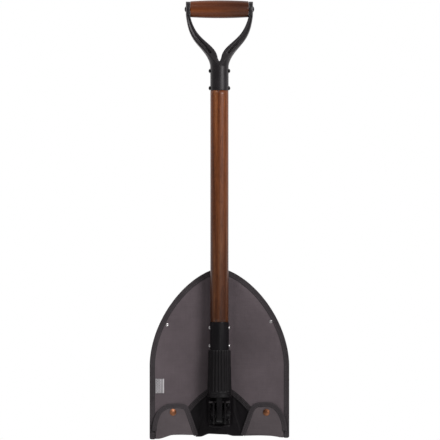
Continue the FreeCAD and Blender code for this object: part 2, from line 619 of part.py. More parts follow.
def main():
    os.makedirs("parts", exist_ok=True)
    nodes = {"shaft": shaft(), "yoke": yoke(), "grip": grip(), "grip_bolt": grip_bolt(), "grip_nut": grip_nut()}
    for place, height in YOKE_RIVET_HEIGHTS.items():
        nodes["yoke_rivet_" + place] = domed_pin(RIVET_R, YOKE_RIVET_HEAD_R, YOKE_SLEEVE_R, height)
    for place, height in FERRULE_RIVET_HEIGHTS.items():
        nodes["ferrule_rivet_" + place] = domed_pin(RIVET_R, FERRULE_RIVET_HEAD_R, FERRULE_R, height)
    nodes["ferrule"] = ferrule()
    nodes["hinge_stub"] = hinge_stub()
    nodes["tang_bush"] = pivot_ring(BUSH_R - 0.02, -TANG_HALF, TANG_HALF)
    nodes["pivot_spacer_left"] = pivot_ring(9.0, -CHEEK_IN + 0.2, -TANG_HALF - 0.05)
    nodes["pivot_spacer_right"] = pivot_ring(9.0, TANG_HALF + 0.05, CHEEK_IN - 0.2)
    nodes["pivot_bolt"] = pivot_bolt()
    nodes["pivot_nut"] = pivot_nut()
    nodes["thrust_ring"] = thrust_ring()
    nodes["collar_sleeve"] = collar_sleeve()
    nodes["collar_nut"] = collar_nut()
    nodes["blade"] = blade()
    nodes["hinge_bracket"] = hinge_bracket()
    nodes["bracket_rivets"] = bracket_rivets()
    nodes["cover_front"] = cover_front()
    nodes["cover_back"] = cover_back()
    nodes["cover_edge_binding"] = cover_edge_binding()
    nodes["cover_opening_binding"] = cover_opening_binding()
    nodes["label"] = label()
    for side in ("left", "right"):
        nodes["flap_" + side] = flap(side)
        nodes["flap_binding_" + side] = flap_binding(side)
        nodes["snap_cap_" + side] = snap_cap(side)
        nodes["snap_socket_" + side] = snap_socket(side)
        nodes["snap_stud_" + side] = snap_stud(side)
        nodes["edge_rivet_" + side] = edge_rivet(side)
    for name, shape in nodes.items():
        save(name, shape)


main()
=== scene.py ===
"""Looks of the folding camp shovel: oiled walnut, black steel and a grey canvas blade cover.

Shapes are worked out in millimetres, with heights counted from just above the cover's feet, and
put() turns them into the frame's metres.
"""

import json
import math

import bmesh
import bpy
import numpy as np
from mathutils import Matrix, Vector, noise


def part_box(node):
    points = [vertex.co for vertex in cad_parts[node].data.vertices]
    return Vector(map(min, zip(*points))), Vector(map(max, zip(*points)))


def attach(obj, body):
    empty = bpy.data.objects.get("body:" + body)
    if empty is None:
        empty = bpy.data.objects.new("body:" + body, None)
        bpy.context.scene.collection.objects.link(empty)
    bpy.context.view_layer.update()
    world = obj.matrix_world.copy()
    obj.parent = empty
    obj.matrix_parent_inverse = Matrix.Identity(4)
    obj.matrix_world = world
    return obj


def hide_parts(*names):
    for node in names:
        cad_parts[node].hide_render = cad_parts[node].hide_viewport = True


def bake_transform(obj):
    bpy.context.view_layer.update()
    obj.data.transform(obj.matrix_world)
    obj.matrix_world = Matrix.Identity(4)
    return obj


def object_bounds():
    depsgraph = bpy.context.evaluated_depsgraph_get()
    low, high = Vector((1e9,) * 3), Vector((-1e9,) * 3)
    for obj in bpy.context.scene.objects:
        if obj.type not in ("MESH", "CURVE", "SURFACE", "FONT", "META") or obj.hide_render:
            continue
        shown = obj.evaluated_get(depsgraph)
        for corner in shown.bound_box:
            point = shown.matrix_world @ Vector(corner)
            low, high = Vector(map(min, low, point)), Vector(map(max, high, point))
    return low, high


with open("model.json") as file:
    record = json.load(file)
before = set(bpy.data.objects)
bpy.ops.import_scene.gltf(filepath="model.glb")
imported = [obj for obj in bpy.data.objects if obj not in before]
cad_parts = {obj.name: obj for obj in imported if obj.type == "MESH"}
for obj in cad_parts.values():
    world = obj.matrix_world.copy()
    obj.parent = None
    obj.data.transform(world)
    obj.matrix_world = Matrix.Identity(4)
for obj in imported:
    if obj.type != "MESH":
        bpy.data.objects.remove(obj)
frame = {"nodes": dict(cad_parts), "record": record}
MM = 0.001
CAD_LOW, CAD_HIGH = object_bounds()
FOOT_DROP = 1.6
BASE = CAD_LOW.z + FOOT_DROP * MM


def node_mm(node):
    """A node's box in millimetres, with heights counted from BASE."""
    low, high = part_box(node)
    shift = Vector((0, 0, BASE))
    return (Vector(low) - shift) / MM, (Vector(high) - shift) / MM


def smooth(t):
    """Soft step from 0 to 1."""
    t = np.clip(t, 0.0, 1.0)
    return t * t * (3 - 2 * t)


# ------------------------------------------------------------------ sizes read from the frame

COVER_HALF = node_mm("cover_edge_binding")[1].x
COVER_TIP = node_mm("cover_edge_binding")[1].z
BLADE_REAR = node_mm("blade")[1].y
DISH_REAR_R = 262.0
DISH_Y = BLADE_REAR - DISH_REAR_R
FLANK_START = 127.5
RISE_POWER = 1.84
WIDTH_POWER = 1.55
BIND_WIDTH = 9.5
BLADE_INSET = 17.5
CLOTH = 0.9
MID_R = 261.0
OPENING_TOP = (13.5, 80.0)
OPENING_SIDE = (51.0, 45.5)
OPENING_BOW = 2.0
SHAFT_ENDS = (203.15, 606.9)
LIGHT_TINT = (1.0, 0.965, 0.983)


# ------------------------------------------------------------------ mesh helpers

def put(name, verts, faces, body, material, smooth_shade=True):
    """A mesh piece from millimetre points, riding on a body."""
    mesh = bpy.data.meshes.new(name)
    points = [(x * MM, y * MM, z * MM + BASE) for x, y, z in verts]
    mesh.from_pydata(points, [], faces)
    mesh.validate()
    piece = bpy.data.objects.new(name, mesh)
    bpy.context.collection.objects.link(piece)
    tidy_normals(mesh)
    for poly in mesh.polygons:
        poly.use_smooth = smooth_shade
    mesh.materials.append(material)
    piece["body_name"] = body
    return piece


def tidy_normals(mesh):
    work = bmesh.new()
    work.from_mesh(mesh)
    bmesh.ops.recalc_face_normals(work, faces=work.faces)
    work.to_mesh(mesh)
    work.free()


def settle(piece, *nodes):
    """Make the piece ride on its body and stand for its CAD nodes."""
    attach(piece, piece["body_name"])
    if nodes:
        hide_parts(*nodes)
    return piece


def lathe(name, profile, body, material, steps=96, axis="Z", centre=(0.0, 0.0, 0.0)):
    """Turn a closed (radius, along) profile about an axis through a centre."""
    verts = []
    for i in range(steps):
        turn = 2 * math.pi * i / steps
        c, s = math.cos(turn), math.sin(turn)
        for radius, along in profile:
            if axis == "Z":
                spot = (radius * c, radius * s, along)
            else:
                spot = (along, radius * c, radius * s)
            verts.append(tuple(a + b for a, b in zip(spot, centre)))
    count = len(profile)
    faces = []
    for i in range(steps):
        j = (i + 1) % steps
        for k in range(count):
            m = (k + 1) % count
            faces.append((i * count + k, j * count + k, j * count + m, i * count + m))
    return put(name, verts, faces, body, material)


def rounded(profile, radius=0.5, steps=4):
    """Round the corners of a closed polygon profile."""
    made = []
    count = len(profile)
    for i, here in enumerate(profile):
        before = Vector(profile[i - 1])
        here = Vector(here)
        after = Vector(profile[(i + 1) % count])
        reach = min(radius, (before - here).length * 0.45, (after - here).length * 0.45)
        start = here + (before - here).normalized() * reach
        end = here + (after - here).normalized() * reach
        for k in range(steps + 1):
            t = k / steps
            made.append(tuple(start * (1 - t) ** 2 + here * 2 * t * (1 - t) + end * t ** 2))
    return made


def refine(node, material, bevel=0.35, segments=3):
    """A copy of a CAD piece with eased edges and smooth round faces."""
    source = frame["nodes"][node]
    mesh = source.data.copy()
    mesh.materials.clear()
    mesh.materials.append(material)
    piece = bpy.data.objects.new(node + "_eased", mesh)
    bpy.context.collection.objects.link(piece)
    work = bmesh.new()
    work.from_mesh(mesh)
    bmesh.ops.remove_doubles(work, verts=work.verts, dist=0.00002)
    bmesh.ops.dissolve_limit(work, angle_limit=math.radians(0.6), verts=work.verts, edges=work.edges)
    work.to_mesh(mesh)
    work.free()
    for poly in mesh.polygons:
        poly.use_smooth = True
        poly.material_index = 0
    ease = piece.modifiers.new("ease", "BEVEL")
    ease.width = bevel * MM
    ease.segments = segments
    ease.limit_method = "ANGLE"
    ease.angle_limit = math.radians(35)
    ease.harden_normals = True
    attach(piece, body_of_node(node))
    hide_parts(node)
    return piece


def body_of_node(node):
    for body, nodes in frame["record"]["behaviour"]["bodies"].items():
        if node in nodes:
            return body
    raise ValueError(node)


# ------------------------------------------------------------------ material helpers

def new_material(name, base, roughness, metallic=0.0, specular=0.5, sheen=0.0):
    """A Principled material, its uniform numbers set straight on the shader."""
    made = bpy.data.materials.new(name)
    made.use_nodes = True
    tree = made.node_tree
    shader = tree.nodes["Principled BSDF"]
    shader.inputs["Base Color"].default_value = (*base, 1.0)
    shader.inputs["Roughness"].default_value = roughness
    shader.inputs["Metallic"].default_value = metallic
    shader.inputs["Specular IOR Level"].default_value = specular
    shader.inputs["Sheen Weight"].default_value = sheen
    shader.inputs["Sheen Roughness"].default_value = 0.5
    return made, tree, shader


def node(tree, kind, **settings):
    made = tree.nodes.new(kind)
    for key, value in settings.items():
        if key in made.inputs.keys() and not hasattr(made, key):
            made.inputs[key].default_value = value
        else:
            setattr(made, key, value)
    return made


def object_coords(tree, scale=(1.0, 1.0, 1.0), turn=(0.0, 0.0, 0.0)):
    coords = node(tree, "ShaderNodeTexCoord")
    mapping = node(tree, "ShaderNodeMapping")
    mapping.inputs["Scale"].default_value = scale
    mapping.inputs["Rotation"].default_value = turn
    tree.links.new(coords.outputs["Object"], mapping.inputs["Vector"])
    return mapping.outputs["Vector"]


def noise_tex(tree, vector, scale, detail=4.0, roughness=0.55, distortion=0.0):
    made = node(tree, "ShaderNodeTexNoise")
    made.inputs["Scale"].default_value = scale
    made.inputs["Detail"].default_value = detail
    made.inputs["Roughness"].default_value = roughness
    made.inputs["Distortion"].default_value = distortion
    tree.links.new(vector, made.inputs["Vector"])
    return made.outputs["Fac"]


def ramp(tree, value, stops):
    """A colour ramp from (place, (r, g, b)) stops."""
    made = node(tree, "ShaderNodeValToRGB")
    bar = made.color_ramp
    while len(bar.elements) < len(stops):
        bar.elements.new(0.5)
    for element, (place, colour) in zip(bar.elements, stops):
        element.position = place
        element.color = (*colour, 1.0)
    tree.links.new(value, made.inputs["Fac"])
    return made.outputs["Color"]


def maths(tree, kind, a, b, clamp=False):
    made = node(tree, "ShaderNodeMath", operation=kind, use_clamp=clamp)
    for place, value in enumerate((a, b)):
        if isinstance(value, (int, float)):
            made.inputs[place].default_value = value
        else:
            tree.links.new(value, made.inputs[place])
    return made.outputs[0]


def mix_colour(tree, factor, first, second, kind="MIX"):
    made = node(tree, "ShaderNodeMix", data_type="RGBA", blend_type=kind)
    for place, value in ((0, factor), (6, first), (7, second)):
        if isinstance(value, (int, float)):
            made.inputs[place].default_value = value
        elif isinstance(value, tuple):
            made.inputs[place].default_value = (*value, 1.0)
        else:
            tree.links.new(value, made.inputs[place])
    return made.outputs[2]


def bump(tree, shader, height, strength, distance, under=None):
    made = node(tree, "ShaderNodeBump")
    made.inputs["Strength"].default_value = strength
    made.inputs["Distance"].default_value = distance
    tree.links.new(height, made.inputs["Height"])
    if under is not None:
        tree.links.new(under, made.inputs["Normal"])
    if shader is not None:
        tree.links.new(made.outputs["Normal"], shader.inputs["Normal"])
    return made.outputs["Normal"]


def wave_tex(tree, vector, direction, scale, distortion=0.0, detail=2.0):
    made = node(tree, "ShaderNodeTexWave", wave_type="BANDS", bands_direction=direction)
    made.inputs["Scale"].default_value = scale
    made.inputs["Distortion"].default_value = distortion
    made.inputs["Detail"].default_value = detail
    tree.links.new(vector, made.inputs["Vector"])
    return made.outputs["Fac"]


def spread(tree, value, between, onto):
    """Map a value softly from one range onto another."""
    made = node(tree, "ShaderNodeMapRange", interpolation_type="SMOOTHSTEP")
    made.inputs["From Min"].default_value, made.inputs["From Max"].default_value = between
    made.inputs["To Min"].default_value, made.inputs["To Max"].default_value = onto
    tree.links.new(value, made.inputs["Value"])
    return made.outputs["Result"]


def edge_wear(tree, low=0.53, high=0.62):
    """How far an edge stands out, from 0 on flats to 1 on sharp outer edges."""
    geometry = node(tree, "ShaderNodeNewGeometry")
    made = node(tree, "ShaderNodeMapRange")
    made.inputs["From Min"].default_value = low
    made.inputs["From Max"].default_value = high
    tree.links.new(geometry.outputs["Pointiness"], made.inputs["Value"])
    return made.outputs["Result"]


# ------------------------------------------------------------------ materials

def canvas_material(name, dark, light, pitch=0.85):
    """Waxed cotton duck: a plain weave with slubs, chalky scuffs and slow changes of tone."""
    made, tree, shader = new_material(name, light, 0.86, specular=0.22, sheen=0.12)
    vector = object_coords(tree)
    bands = band_scale(pitch)
    wander = noise_tex(tree, vector, 260.0, 2.0)
    warp = wave_tex(tree, vector, "X", bands, 0.25)
    weft = wave_tex(tree, vector, "Z", bands, 0.25)
    threads = maths(tree, "MULTIPLY", warp, weft)
    tone = noise_tex(tree, vector, 11.0, 5.0, 0.6)
    slub = noise_tex(tree, object_coords(tree, (40.0, 40.0, 900.0)), 1.0, 2.0)
    fleck = noise_tex(tree, object_coords(tree, (900.0, 900.0, 40.0)), 1.0, 2.0)
    base = ramp(tree, tone, [(0.3, dark), (0.7, light)])
    shade = maths(tree, "MULTIPLY", maths(tree, "ADD", slub, fleck), 0.18)
    shade = maths(tree, "ADD", maths(tree, "MULTIPLY", threads, 0.2), shade)
    tree.links.new(shaded(tree, base, maths(tree, "ADD", shade, 0.77)), shader.inputs["Base Color"])
    height = maths(tree, "ADD", threads, maths(tree, "MULTIPLY", wander, 0.6))
    fine = bump(tree, None, height, 0.45, 0.0002)
    bump(tree, shader, tone, 0.18, 0.0015, under=fine)
    return made


def band_scale(pitch):
    """Wave texture scale that repeats its bands at a pitch in millimetres."""
    return 2 * math.pi / (20.0 * pitch * MM)


def shaded(tree, colour, shade):
    """A colour multiplied by a grey value."""
    grey = node(tree, "ShaderNodeCombineColor")
    for place in range(3):
        tree.links.new(shade, grey.inputs[place])
    return mix_colour(tree, 1.0, colour, grey.outputs[0], "MULTIPLY")


def tape_material(name, dark, light):
    """Twill binding tape, denser and darker than the canvas."""
    made, tree, shader = new_material(name, light, 0.8, specular=0.25, sheen=0.1)
    vector = object_coords(tree, turn=(0.0, math.radians(45), 0.0))
    twill = wave_tex(tree, vector, "X", band_scale(1.1), 0.4)
    cross = wave_tex(tree, vector, "Z", band_scale(0.9), 0.4)
    tone = noise_tex(tree, object_coords(tree), 24.0, 5.0, 0.65)
    base = ramp(tree, tone, [(0.3, dark), (0.72, light)])
    shade = maths(tree, "ADD", maths(tree, "MULTIPLY", twill, 0.3), 0.78)
    tree.links.new(shaded(tree, base, shade), shader.inputs["Base Color"])
    height = maths(tree, "ADD", twill, maths(tree, "MULTIPLY", cross, 0.5))
    bump(tree, shader, height, 0.4, 0.0002)
    return made


def thread_material(name, colour):
    made, tree, shader = new_material(name, colour, 0.7, specular=0.3, sheen=0.2)
    vector = object_coords(tree)
    twist = wave_tex(tree, vector, "DIAGONAL", 900.0)
    bump(tree, shader, twist, 0.4, 0.0001)
    tone = noise_tex(tree, vector, 60.0, 2.0)
    lighter = tuple(min(c * 1.5, 1.0) for c in colour)
    tree.links.new(ramp(tree, tone, [(0.35, colour), (0.7, lighter)]), shader.inputs["Base Color"])
    return made


def wood_material(name, colours, along, gloss=0.42, tint=(1.0, 1.0), figure=1.0):
    """Straight-grained oiled wood, its rings and pores drawn out along one axis, with painted light and
    shade from one end to the other by the two tint factors; figure is how strong the grain shows."""
    made, tree, shader = new_material(name, colours[1], gloss, specular=0.3)
    stretch = {"Z": (1.0, 1.0, 0.035), "X": (0.035, 1.0, 1.0)}[along]
    long_way = object_coords(tree, stretch)
    rings = noise_tex(tree, long_way, 120.0, 3.0, 0.5, 0.6)
    fibre = noise_tex(tree, long_way, 900.0, 3.0, 0.6)
    pore_stretch = {"Z": (1.0, 1.0, 0.06), "X": (0.06, 1.0, 1.0)}[along]
    pores = noise_tex(tree, object_coords(tree, pore_stretch), 1900.0, 1.0, 0.5)
    cloud = noise_tex(tree, object_coords(tree), 9.0, 3.0)
    dark, mid, light = colours
    grain = ramp(tree, rings, [(0.30, dark), (0.48, mid), (0.66, light)])
    streak = ramp(tree, fibre, [(0.30, (0.62, 0.60, 0.58)), (0.62, (1.08, 1.06, 1.05))])
    pore = ramp(tree, pores, [(0.34, (0.45, 0.42, 0.40)), (0.44, (1.0, 1.0, 1.0))])
    patch = ramp(tree, cloud, [(0.3, (0.86, 0.84, 0.82)), (0.7, (1.1, 1.1, 1.1))])
    colour = mix_colour(tree, figure, grain, streak, "MULTIPLY")
    colour = mix_colour(tree, 0.8 * figure, colour, pore, "MULTIPLY")
    colour = mix_colour(tree, 0.8, colour, patch, "MULTIPLY")
    parts = node(tree, "ShaderNodeSeparateXYZ")
    tree.links.new(object_coords(tree), parts.inputs[0])
    ends = {"Z": (SHAFT_ENDS[0] * MM + BASE, SHAFT_ENDS[1] * MM + BASE), "X": (-0.05, 0.05)}[along]
    # Painted light and shade: the colour is scaled from one tint factor to the other along the piece's
    # length.
    colour = shaded(tree, colour, spread(tree, parts.outputs[along], ends, tint))
    tree.links.new(colour, shader.inputs["Base Color"])
    rough = maths(tree, "ADD", maths(tree, "MULTIPLY", fibre, 0.22), gloss - 0.1)
    tree.links.new(rough, shader.inputs["Roughness"])
    fine = bump(tree, None, pores, 0.25, 0.0001)
    bump(tree, shader, fibre, 0.2, 0.00015, under=fine)
    return made


def coated_material(name, colour, roughness, grain=1400.0, wear=(0.16, 0.155, 0.15), wear_amount=0.35,
                    specular=0.4, orange=0.25):
    """Powder-coated or blackened steel: fine orange peel, rubbed edges, faint dust."""
    made, tree, shader = new_material(name, colour, roughness, specular=specular)
    vector = object_coords(tree)
    peel = noise_tex(tree, vector, grain, 2.0, 0.5)
    blotch = noise_tex(tree, vector, 38.0, 5.0, 0.65)
    lighter = tuple(c * 1.7 + 0.001 for c in colour)
    base = ramp(tree, blotch, [(0.32, colour), (0.75, lighter)])
    rubbed = maths(tree, "MULTIPLY", edge_wear(tree), wear_amount)
    patchy = maths(tree, "MULTIPLY", rubbed, maths(tree, "ADD", blotch, 0.35), clamp=True)
    tree.links.new(mix_colour(tree, patchy, base, wear), shader.inputs["Base Color"])
    rough = maths(tree, "ADD", maths(tree, "MULTIPLY", blotch, 0.2), roughness - 0.1)
    tree.links.new(rough, shader.inputs["Roughness"])
    bump(tree, shader, peel, orange, 0.0002)
    return made


def metal_material(name, colour, roughness, brushed=600.0, tarnish=0.35):
    """Bare metal with fine scratches and darker tarnish in patches."""
    made, tree, shader = new_material(name, colour, roughness, metallic=1.0)
    vector = object_coords(tree)
    patches = noise_tex(tree, vector, 160.0, 4.0, 0.6)
    scratches = noise_tex(tree, object_coords(tree, (1.0, 1.0, 12.0)), brushed, 3.0, 0.6)
    dull = tuple(c * (1 - tarnish) for c in colour)
    tree.links.new(ramp(tree, patches, [(0.3, dull), (0.65, colour)]), shader.inputs["Base Color"])
    rough = maths(tree, "ADD", maths(tree, "MULTIPLY", scratches, 0.25), roughness - 0.08)
    tree.links.new(rough, shader.inputs["Roughness"])
    bump(tree, shader, scratches, 0.2, 0.0001)
    return made


def label_material(name):
    """White woven label: a finely hatched field, and a plain edge with one thin line beside it."""
    made, tree, shader = new_material(name, (0.5, 0.49, 0.5), 0.75, specular=0.3)
    vector = object_coords(tree)
    rows = wave_tex(tree, vector, "Z", 260.0)
    hatch = wave_tex(tree, object_coords(tree, turn=(0.0, math.radians(45), 0.0)), "X", 95.0)
    cross = wave_tex(tree, object_coords(tree, turn=(0.0, math.radians(-45), 0.0)), "X", 95.0)
    tone = noise_tex(tree, vector, 300.0, 3.0)
    parts = node(tree, "ShaderNodeSeparateXYZ")
    tree.links.new(vector, parts.inputs[0])
    field = maths(tree, "LESS_THAN", parts.outputs["X"], -102.6 * MM)
    line = maths(tree, "COMPARE", parts.outputs["X"], -100.2 * MM)
    line.node.inputs[2].default_value = 0.8 * MM
    dots = maths(tree, "GREATER_THAN", maths(tree, "MULTIPLY", hatch, cross), 0.12)
    woven = maths(tree, "MULTIPLY", dots, field)
    marks = maths(tree, "MAXIMUM", maths(tree, "MULTIPLY", woven, 0.9), maths(tree, "MULTIPLY", line, 0.95))
    base = ramp(tree, tone, [(0.3, (0.38, 0.37, 0.38)), (0.7, (0.52, 0.51, 0.52))])
    tree.links.new(mix_colour(tree, marks, base, (0.03, 0.028, 0.03)), shader.inputs["Base Color"])
    bump(tree, shader, rows, 0.5, 0.0002)
    return made


CANVAS = canvas_material("waxed_canvas", (0.070, 0.057, 0.062), (0.099, 0.081, 0.088))
# Painted shade: the flaps are the same canvas as the cover, given a darker copy of it.
SHADED_FLAP_CANVAS = canvas_material("waxed_canvas_painted_shade", (0.062, 0.052, 0.055), (0.088, 0.074, 0.078))
TAPE = tape_material("binding_tape", (0.024, 0.020, 0.022), (0.041, 0.035, 0.038))
# Painted shade: the same binding tape, made darker round the opening to stand in for the collar's shadow
# there.
SHADED_OPENING_TAPE = tape_material("opening_tape_painted_shade", (0.009, 0.007, 0.008), (0.019, 0.015, 0.017))
THREAD = thread_material("dark_thread", (0.036, 0.033, 0.035))
WALNUT_TONES = ((0.062, 0.016, 0.0035), (0.118, 0.035, 0.009), (0.165, 0.061, 0.021))
# Painted highlight towards the top of the shaft and painted shade towards its bottom: 0.60 times the colour
# at the bottom, 1.62 times at the top.
WALNUT = wood_material("walnut_shaft_wood", WALNUT_TONES, "Z", 0.34, (0.60, 1.62))
GRIP_TONES = ((0.075, 0.018, 0.0035), (0.100, 0.025, 0.005), (0.128, 0.036, 0.008))
# Painted light at the grip's left end and painted shade towards its right end: 1.38 times the colour to 0.52
# times.
GRIP_WOOD = wood_material("walnut_grip_wood", GRIP_TONES, "X", 0.34, (1.38, 0.52), 0.45)
YOKE_BLACK = coated_material("yoke_coat", (0.0065, 0.0053, 0.0063), 0.40, specular=0.40, orange=0.10)
FERRULE_BLACK = coated_material("ferrule_coat", (0.0030, 0.0027, 0.0033), 0.34, specular=0.18, orange=0.10)
COLLAR_BLACK = coated_material("collar_coat", (0.003, 0.0026, 0.003), 0.40, grain=900.0, specular=0.2)
HINGE_BLACK = coated_material("hinge_coat", (0.003, 0.0026, 0.003), 0.36, wear=(0.09, 0.083, 0.085),
                              wear_amount=0.4, specular=0.10)
BLADE_BLACK = coated_material("blade_coat", (0.0032, 0.0025, 0.0032), 0.5, grain=1100.0, specular=0.11)
RIVET_BLACK = coated_material("rivet_coat", (0.002, 0.002, 0.0025), 0.36, specular=0.2)
SILVER = metal_material("bright_rivet", (0.52, 0.51, 0.51), 0.30)
COPPER = metal_material("antique_copper", (0.31, 0.135, 0.070), 0.38, tarnish=0.45)
BRONZE = metal_material("turned_bronze", (0.5, 0.33, 0.16), 0.35)
LABEL = label_material("woven_label")


# ------------------------------------------------------------------ the cover's outline and surfaces

def flank(turn):
    """The cover's rounded top seen from the front, from the right flank (0) to the tip (pi/2)."""
    rise = math.sin(turn) ** (2 / RISE_POWER)
    width = max(math.cos(turn), 0.0) ** (2 / WIDTH_POWER)
    return COVER_HALF * width, FLANK_START + (COVER_TIP - FLANK_START) * rise


def resample(points, pitch):
    """The same open path with evenly spaced points."""
    points = np.array(points, float)
    runs = np.linalg.norm(np.diff(points, axis=0), axis=1)
    far = np.concatenate([[0], np.cumsum(runs)])
    count = max(int(round(far[-1] / pitch)), 2)
    spots = np.linspace(0, far[-1], count + 1)
    return np.stack([np.interp(spots, far, points[:, k]) for k in range(points.shape[1])], axis=1)


def inward(path):
    """Unit normals to the left of the path's direction."""
    along = np.gradient(path, axis=0)
    along /= np.linalg.norm(along, axis=1)[:, None]
    return np.stack([-along[:, 1], along[:, 0]], axis=1)


def cover_path(pitch, right_foot=0.0, left_foot=0.0):
    """Outline from the right foot over the tip to the left foot."""
    half = [flank(t) for t in np.linspace(0, math.pi / 2, 400)]
    back = [(-x, z) for x, z in reversed(half[:-1])]
    return resample([(COVER_HALF, right_foot)] + half + back + [(-COVER_HALF, left_foot)], pitch)


RIM = cover_path(1.0, -FOOT_DROP, -FOOT_DROP)


def rim_distance(x, z):
    """Distance of points from the outline, found in chunks: positive inside it, negative outside."""
    spots = np.stack([np.ravel(x), np.ravel(z)], axis=1)
    found = np.empty(len(spots))
    for start in range(0, len(spots), 4000):
        part = spots[start:start + 4000]
        gap = part[:, None, :] - RIM[None, :, :]
        found[start:start + 4000] = np.sqrt((gap ** 2).sum(axis=2).min(axis=1))
    found = found.reshape(np.shape(x))
    return np.where(inside_outline(x, z), found, -found)


def inside_outline(x, z):
    """True within the cover's outline."""
    rise = np.clip((z - FLANK_START) / (COVER_TIP - FLANK_START), 0, 1)
    width = COVER_HALF * (1 - rise ** RISE_POWER) ** (1 / WIDTH_POWER)
    return (np.abs(x) <= width) & (z <= COVER_TIP)


def dish(radius, x):
    return DISH_Y + np.sqrt(np.maximum(radius ** 2 - x ** 2, 1.0))


def ripple(x, z, scale, seed):
    """Smooth noise between -1 and 1, in cloth coordinates."""
    flat = np.stack([np.ravel(x), np.ravel(z)], axis=1)
    found = [noise.noise(Vector((a * scale, b * scale, seed))) for a, b in flat]
    return np.array(found).reshape(np.shape(x))


def front_skin(x, z, gap=None):
    """Outer face of the front panel: taut from the rim to the shaft, slightly puckered at the seams."""
    gap = rim_distance(x, z) if gap is None else gap
    depth = 0.9 + 2.1 * smooth(gap / BLADE_INSET)
    side = np.clip((np.abs(x) - 20.0) / 84.0, 0, 1)
    above_flaps = smooth((z - 52.0) / 45.0)
    taut = 2.6 * np.sin(math.pi * side) * smooth(gap / 22.0) * above_flaps
    folds = 0.42 * ripple(x, z * 0.55, 1 / 26.0, 3.0) + 0.16 * ripple(x, z, 1 / 9.0, 8.0)
    loose = folds * (0.35 + 0.65 * above_flaps)
    pucker = 0.22 * np.cos(z * 2 * math.pi / 11.0 + x * 0.08) * np.exp(-np.maximum(gap - 9.0, 0) / 6.0)
    keep_clear = smooth((np.abs(x) - 16.0) / 14.0)
    return dish(MID_R, x) - depth - (taut + loose + pucker) * keep_clear


def back_skin(x, z, gap=None):
    """Outer face of the back panel: drawn over the blade's round back."""
    gap = rim_distance(x, z) if gap is None else gap
    depth = 0.9 + 2.1 * smooth(gap / BLADE_INSET)
    ridge = 0.45 * np.exp(-((gap - BLADE_INSET - 1.0) / 3.0) ** 2)
    loose = 0.34 * ripple(x, z * 0.6, 1 / 30.0, 21.0) + 0.14 * ripple(x, z, 1 / 10.0, 33.0)
    pucker = 0.22 * np.cos(z * 2 * math.pi / 10.0 - x * 0.1) * np.exp(-np.maximum(gap - 9.0, 0) / 6.0)
    return dish(MID_R, x) + depth + ridge + loose * smooth(gap / 14.0) + pucker


def opening_distance(x, z):
    """How far points lie outside the front opening, whose upper edges bow down to its corners."""
    along, out, length = opening_slope()
    across = np.abs(x) - OPENING_TOP[0]
    down = z - OPENING_TOP[1]
    share = np.clip((across * along.x + down * along.y) / length * 2 - 1, -1, 1)
    slope = across * out.x + down * out.y - OPENING_BOW * (1 - share ** 2)
    return np.maximum(np.maximum(slope, down), np.abs(x) - OPENING_SIDE[0] - 6.0)


def opening_slope():
    """Direction, outward normal and length of the opening's upper right edge."""
    run = Vector((OPENING_SIDE[0] - OPENING_TOP[0], OPENING_SIDE[1] - OPENING_TOP[1]))
    along = run.normalized()
    return along, Vector((-along.y, along.x)), run.length


def trimmed_grid(across, along, border):
    """Points and quads of a grid cut along the zero line of border(), which is positive within."""
    a, b = np.meshgrid(across, along)
    centre_a = (a[:-1, :-1] + a[1:, 1:]) / 2
    centre_b = (b[:-1, :-1] + b[1:, 1:]) / 2
    kept = border(centre_a, centre_b) > 0
    rows, cols = a.shape
    near = np.zeros((rows, cols), int)
    for i in (0, 1):
        for j in (0, 1):
            near[i:rows - 1 + i, j:cols - 1 + j] += kept
    used = near > 0
    edge = used & (near < 4)
    for _ in range(3):
        u, v = a[edge], b[edge]
        here = border(u, v)
        du = (border(u + 0.05, v) - border(u - 0.05, v)) / 0.1
        dv = (border(u, v + 0.05) - border(u, v - 0.05)) / 0.1
        steep = np.maximum(du ** 2 + dv ** 2, 0.25)
        a[edge] = u - here * du / steep
        b[edge] = v - here * dv / steep
    number = np.cumsum(used).reshape(used.shape) - 1
    rings = np.stack([number[:-1, :-1], number[:-1, 1:], number[1:, 1:], number[1:, :-1]], axis=-1)
    return a[used], b[used], [tuple(int(k) for k in ring) for ring in rings[kept]]


def cloth_piece(name, points, faces, thickness, body, material, outward):
    """A sheet from its outer skin, thickened inwards."""
    piece = put(name, points, faces, body, material)
    face_out(piece, outward)
    thick = piece.modifiers.new("thickness", "SOLIDIFY")
    thick.thickness = thickness * MM
    thick.offset = -1.0
    return piece


def sheet_mesh(name, border, skin, low, high, half, step, thickness, body, material, outward):
    """A sheet that follows skin(x, z) wherever border(x, z) is positive."""
    across = np.arange(-half, half + step, step)
    along = np.arange(low, high + step, step)
    x, z, faces = trimmed_grid(across, along, border)
    points = np.stack([x, skin(x, z), z], axis=1).tolist()
    return cloth_piece(name, points, faces, thickness, body, material, outward)


def face_out(piece, outward):
    """Turn all faces so that they look towards -Y (outward < 0) or +Y."""
    mesh = piece.data
    total = sum(p.normal.y * p.area for p in mesh.polygons)
    if total * outward < 0:
        mesh.flip_normals()


# ------------------------------------------------------------------ tapes, seams and stitches

def sweep(name, path, normals, profile_at, body, material, trim=None):
    """A closed section carried along an XZ path: profile_at(i) gives (inset, y) points, and
    trim(x, z) may draw a point in sideways."""
    verts = []
    count = 0
    for i, (spot, normal) in enumerate(zip(path, normals)):
        section = profile_at(i, spot, normal)
        count = len(section)
        for inset, y in section:
            x, z = spot + normal * inset
            verts.append((trim(x, z) if trim else x, y, z))
    faces = []
    total = len(path)
    for i in range(total - 1):
        for k in range(count):
            m = (k + 1) % count
            faces.append((i * count + k, (i + 1) * count + k, (i + 1) * count + m, i * count + m))
    faces.append(tuple(range(count))[::-1])
    faces.append(tuple((total - 1) * count + k for k in range(count)))
    return put(name, verts, faces, body, material)


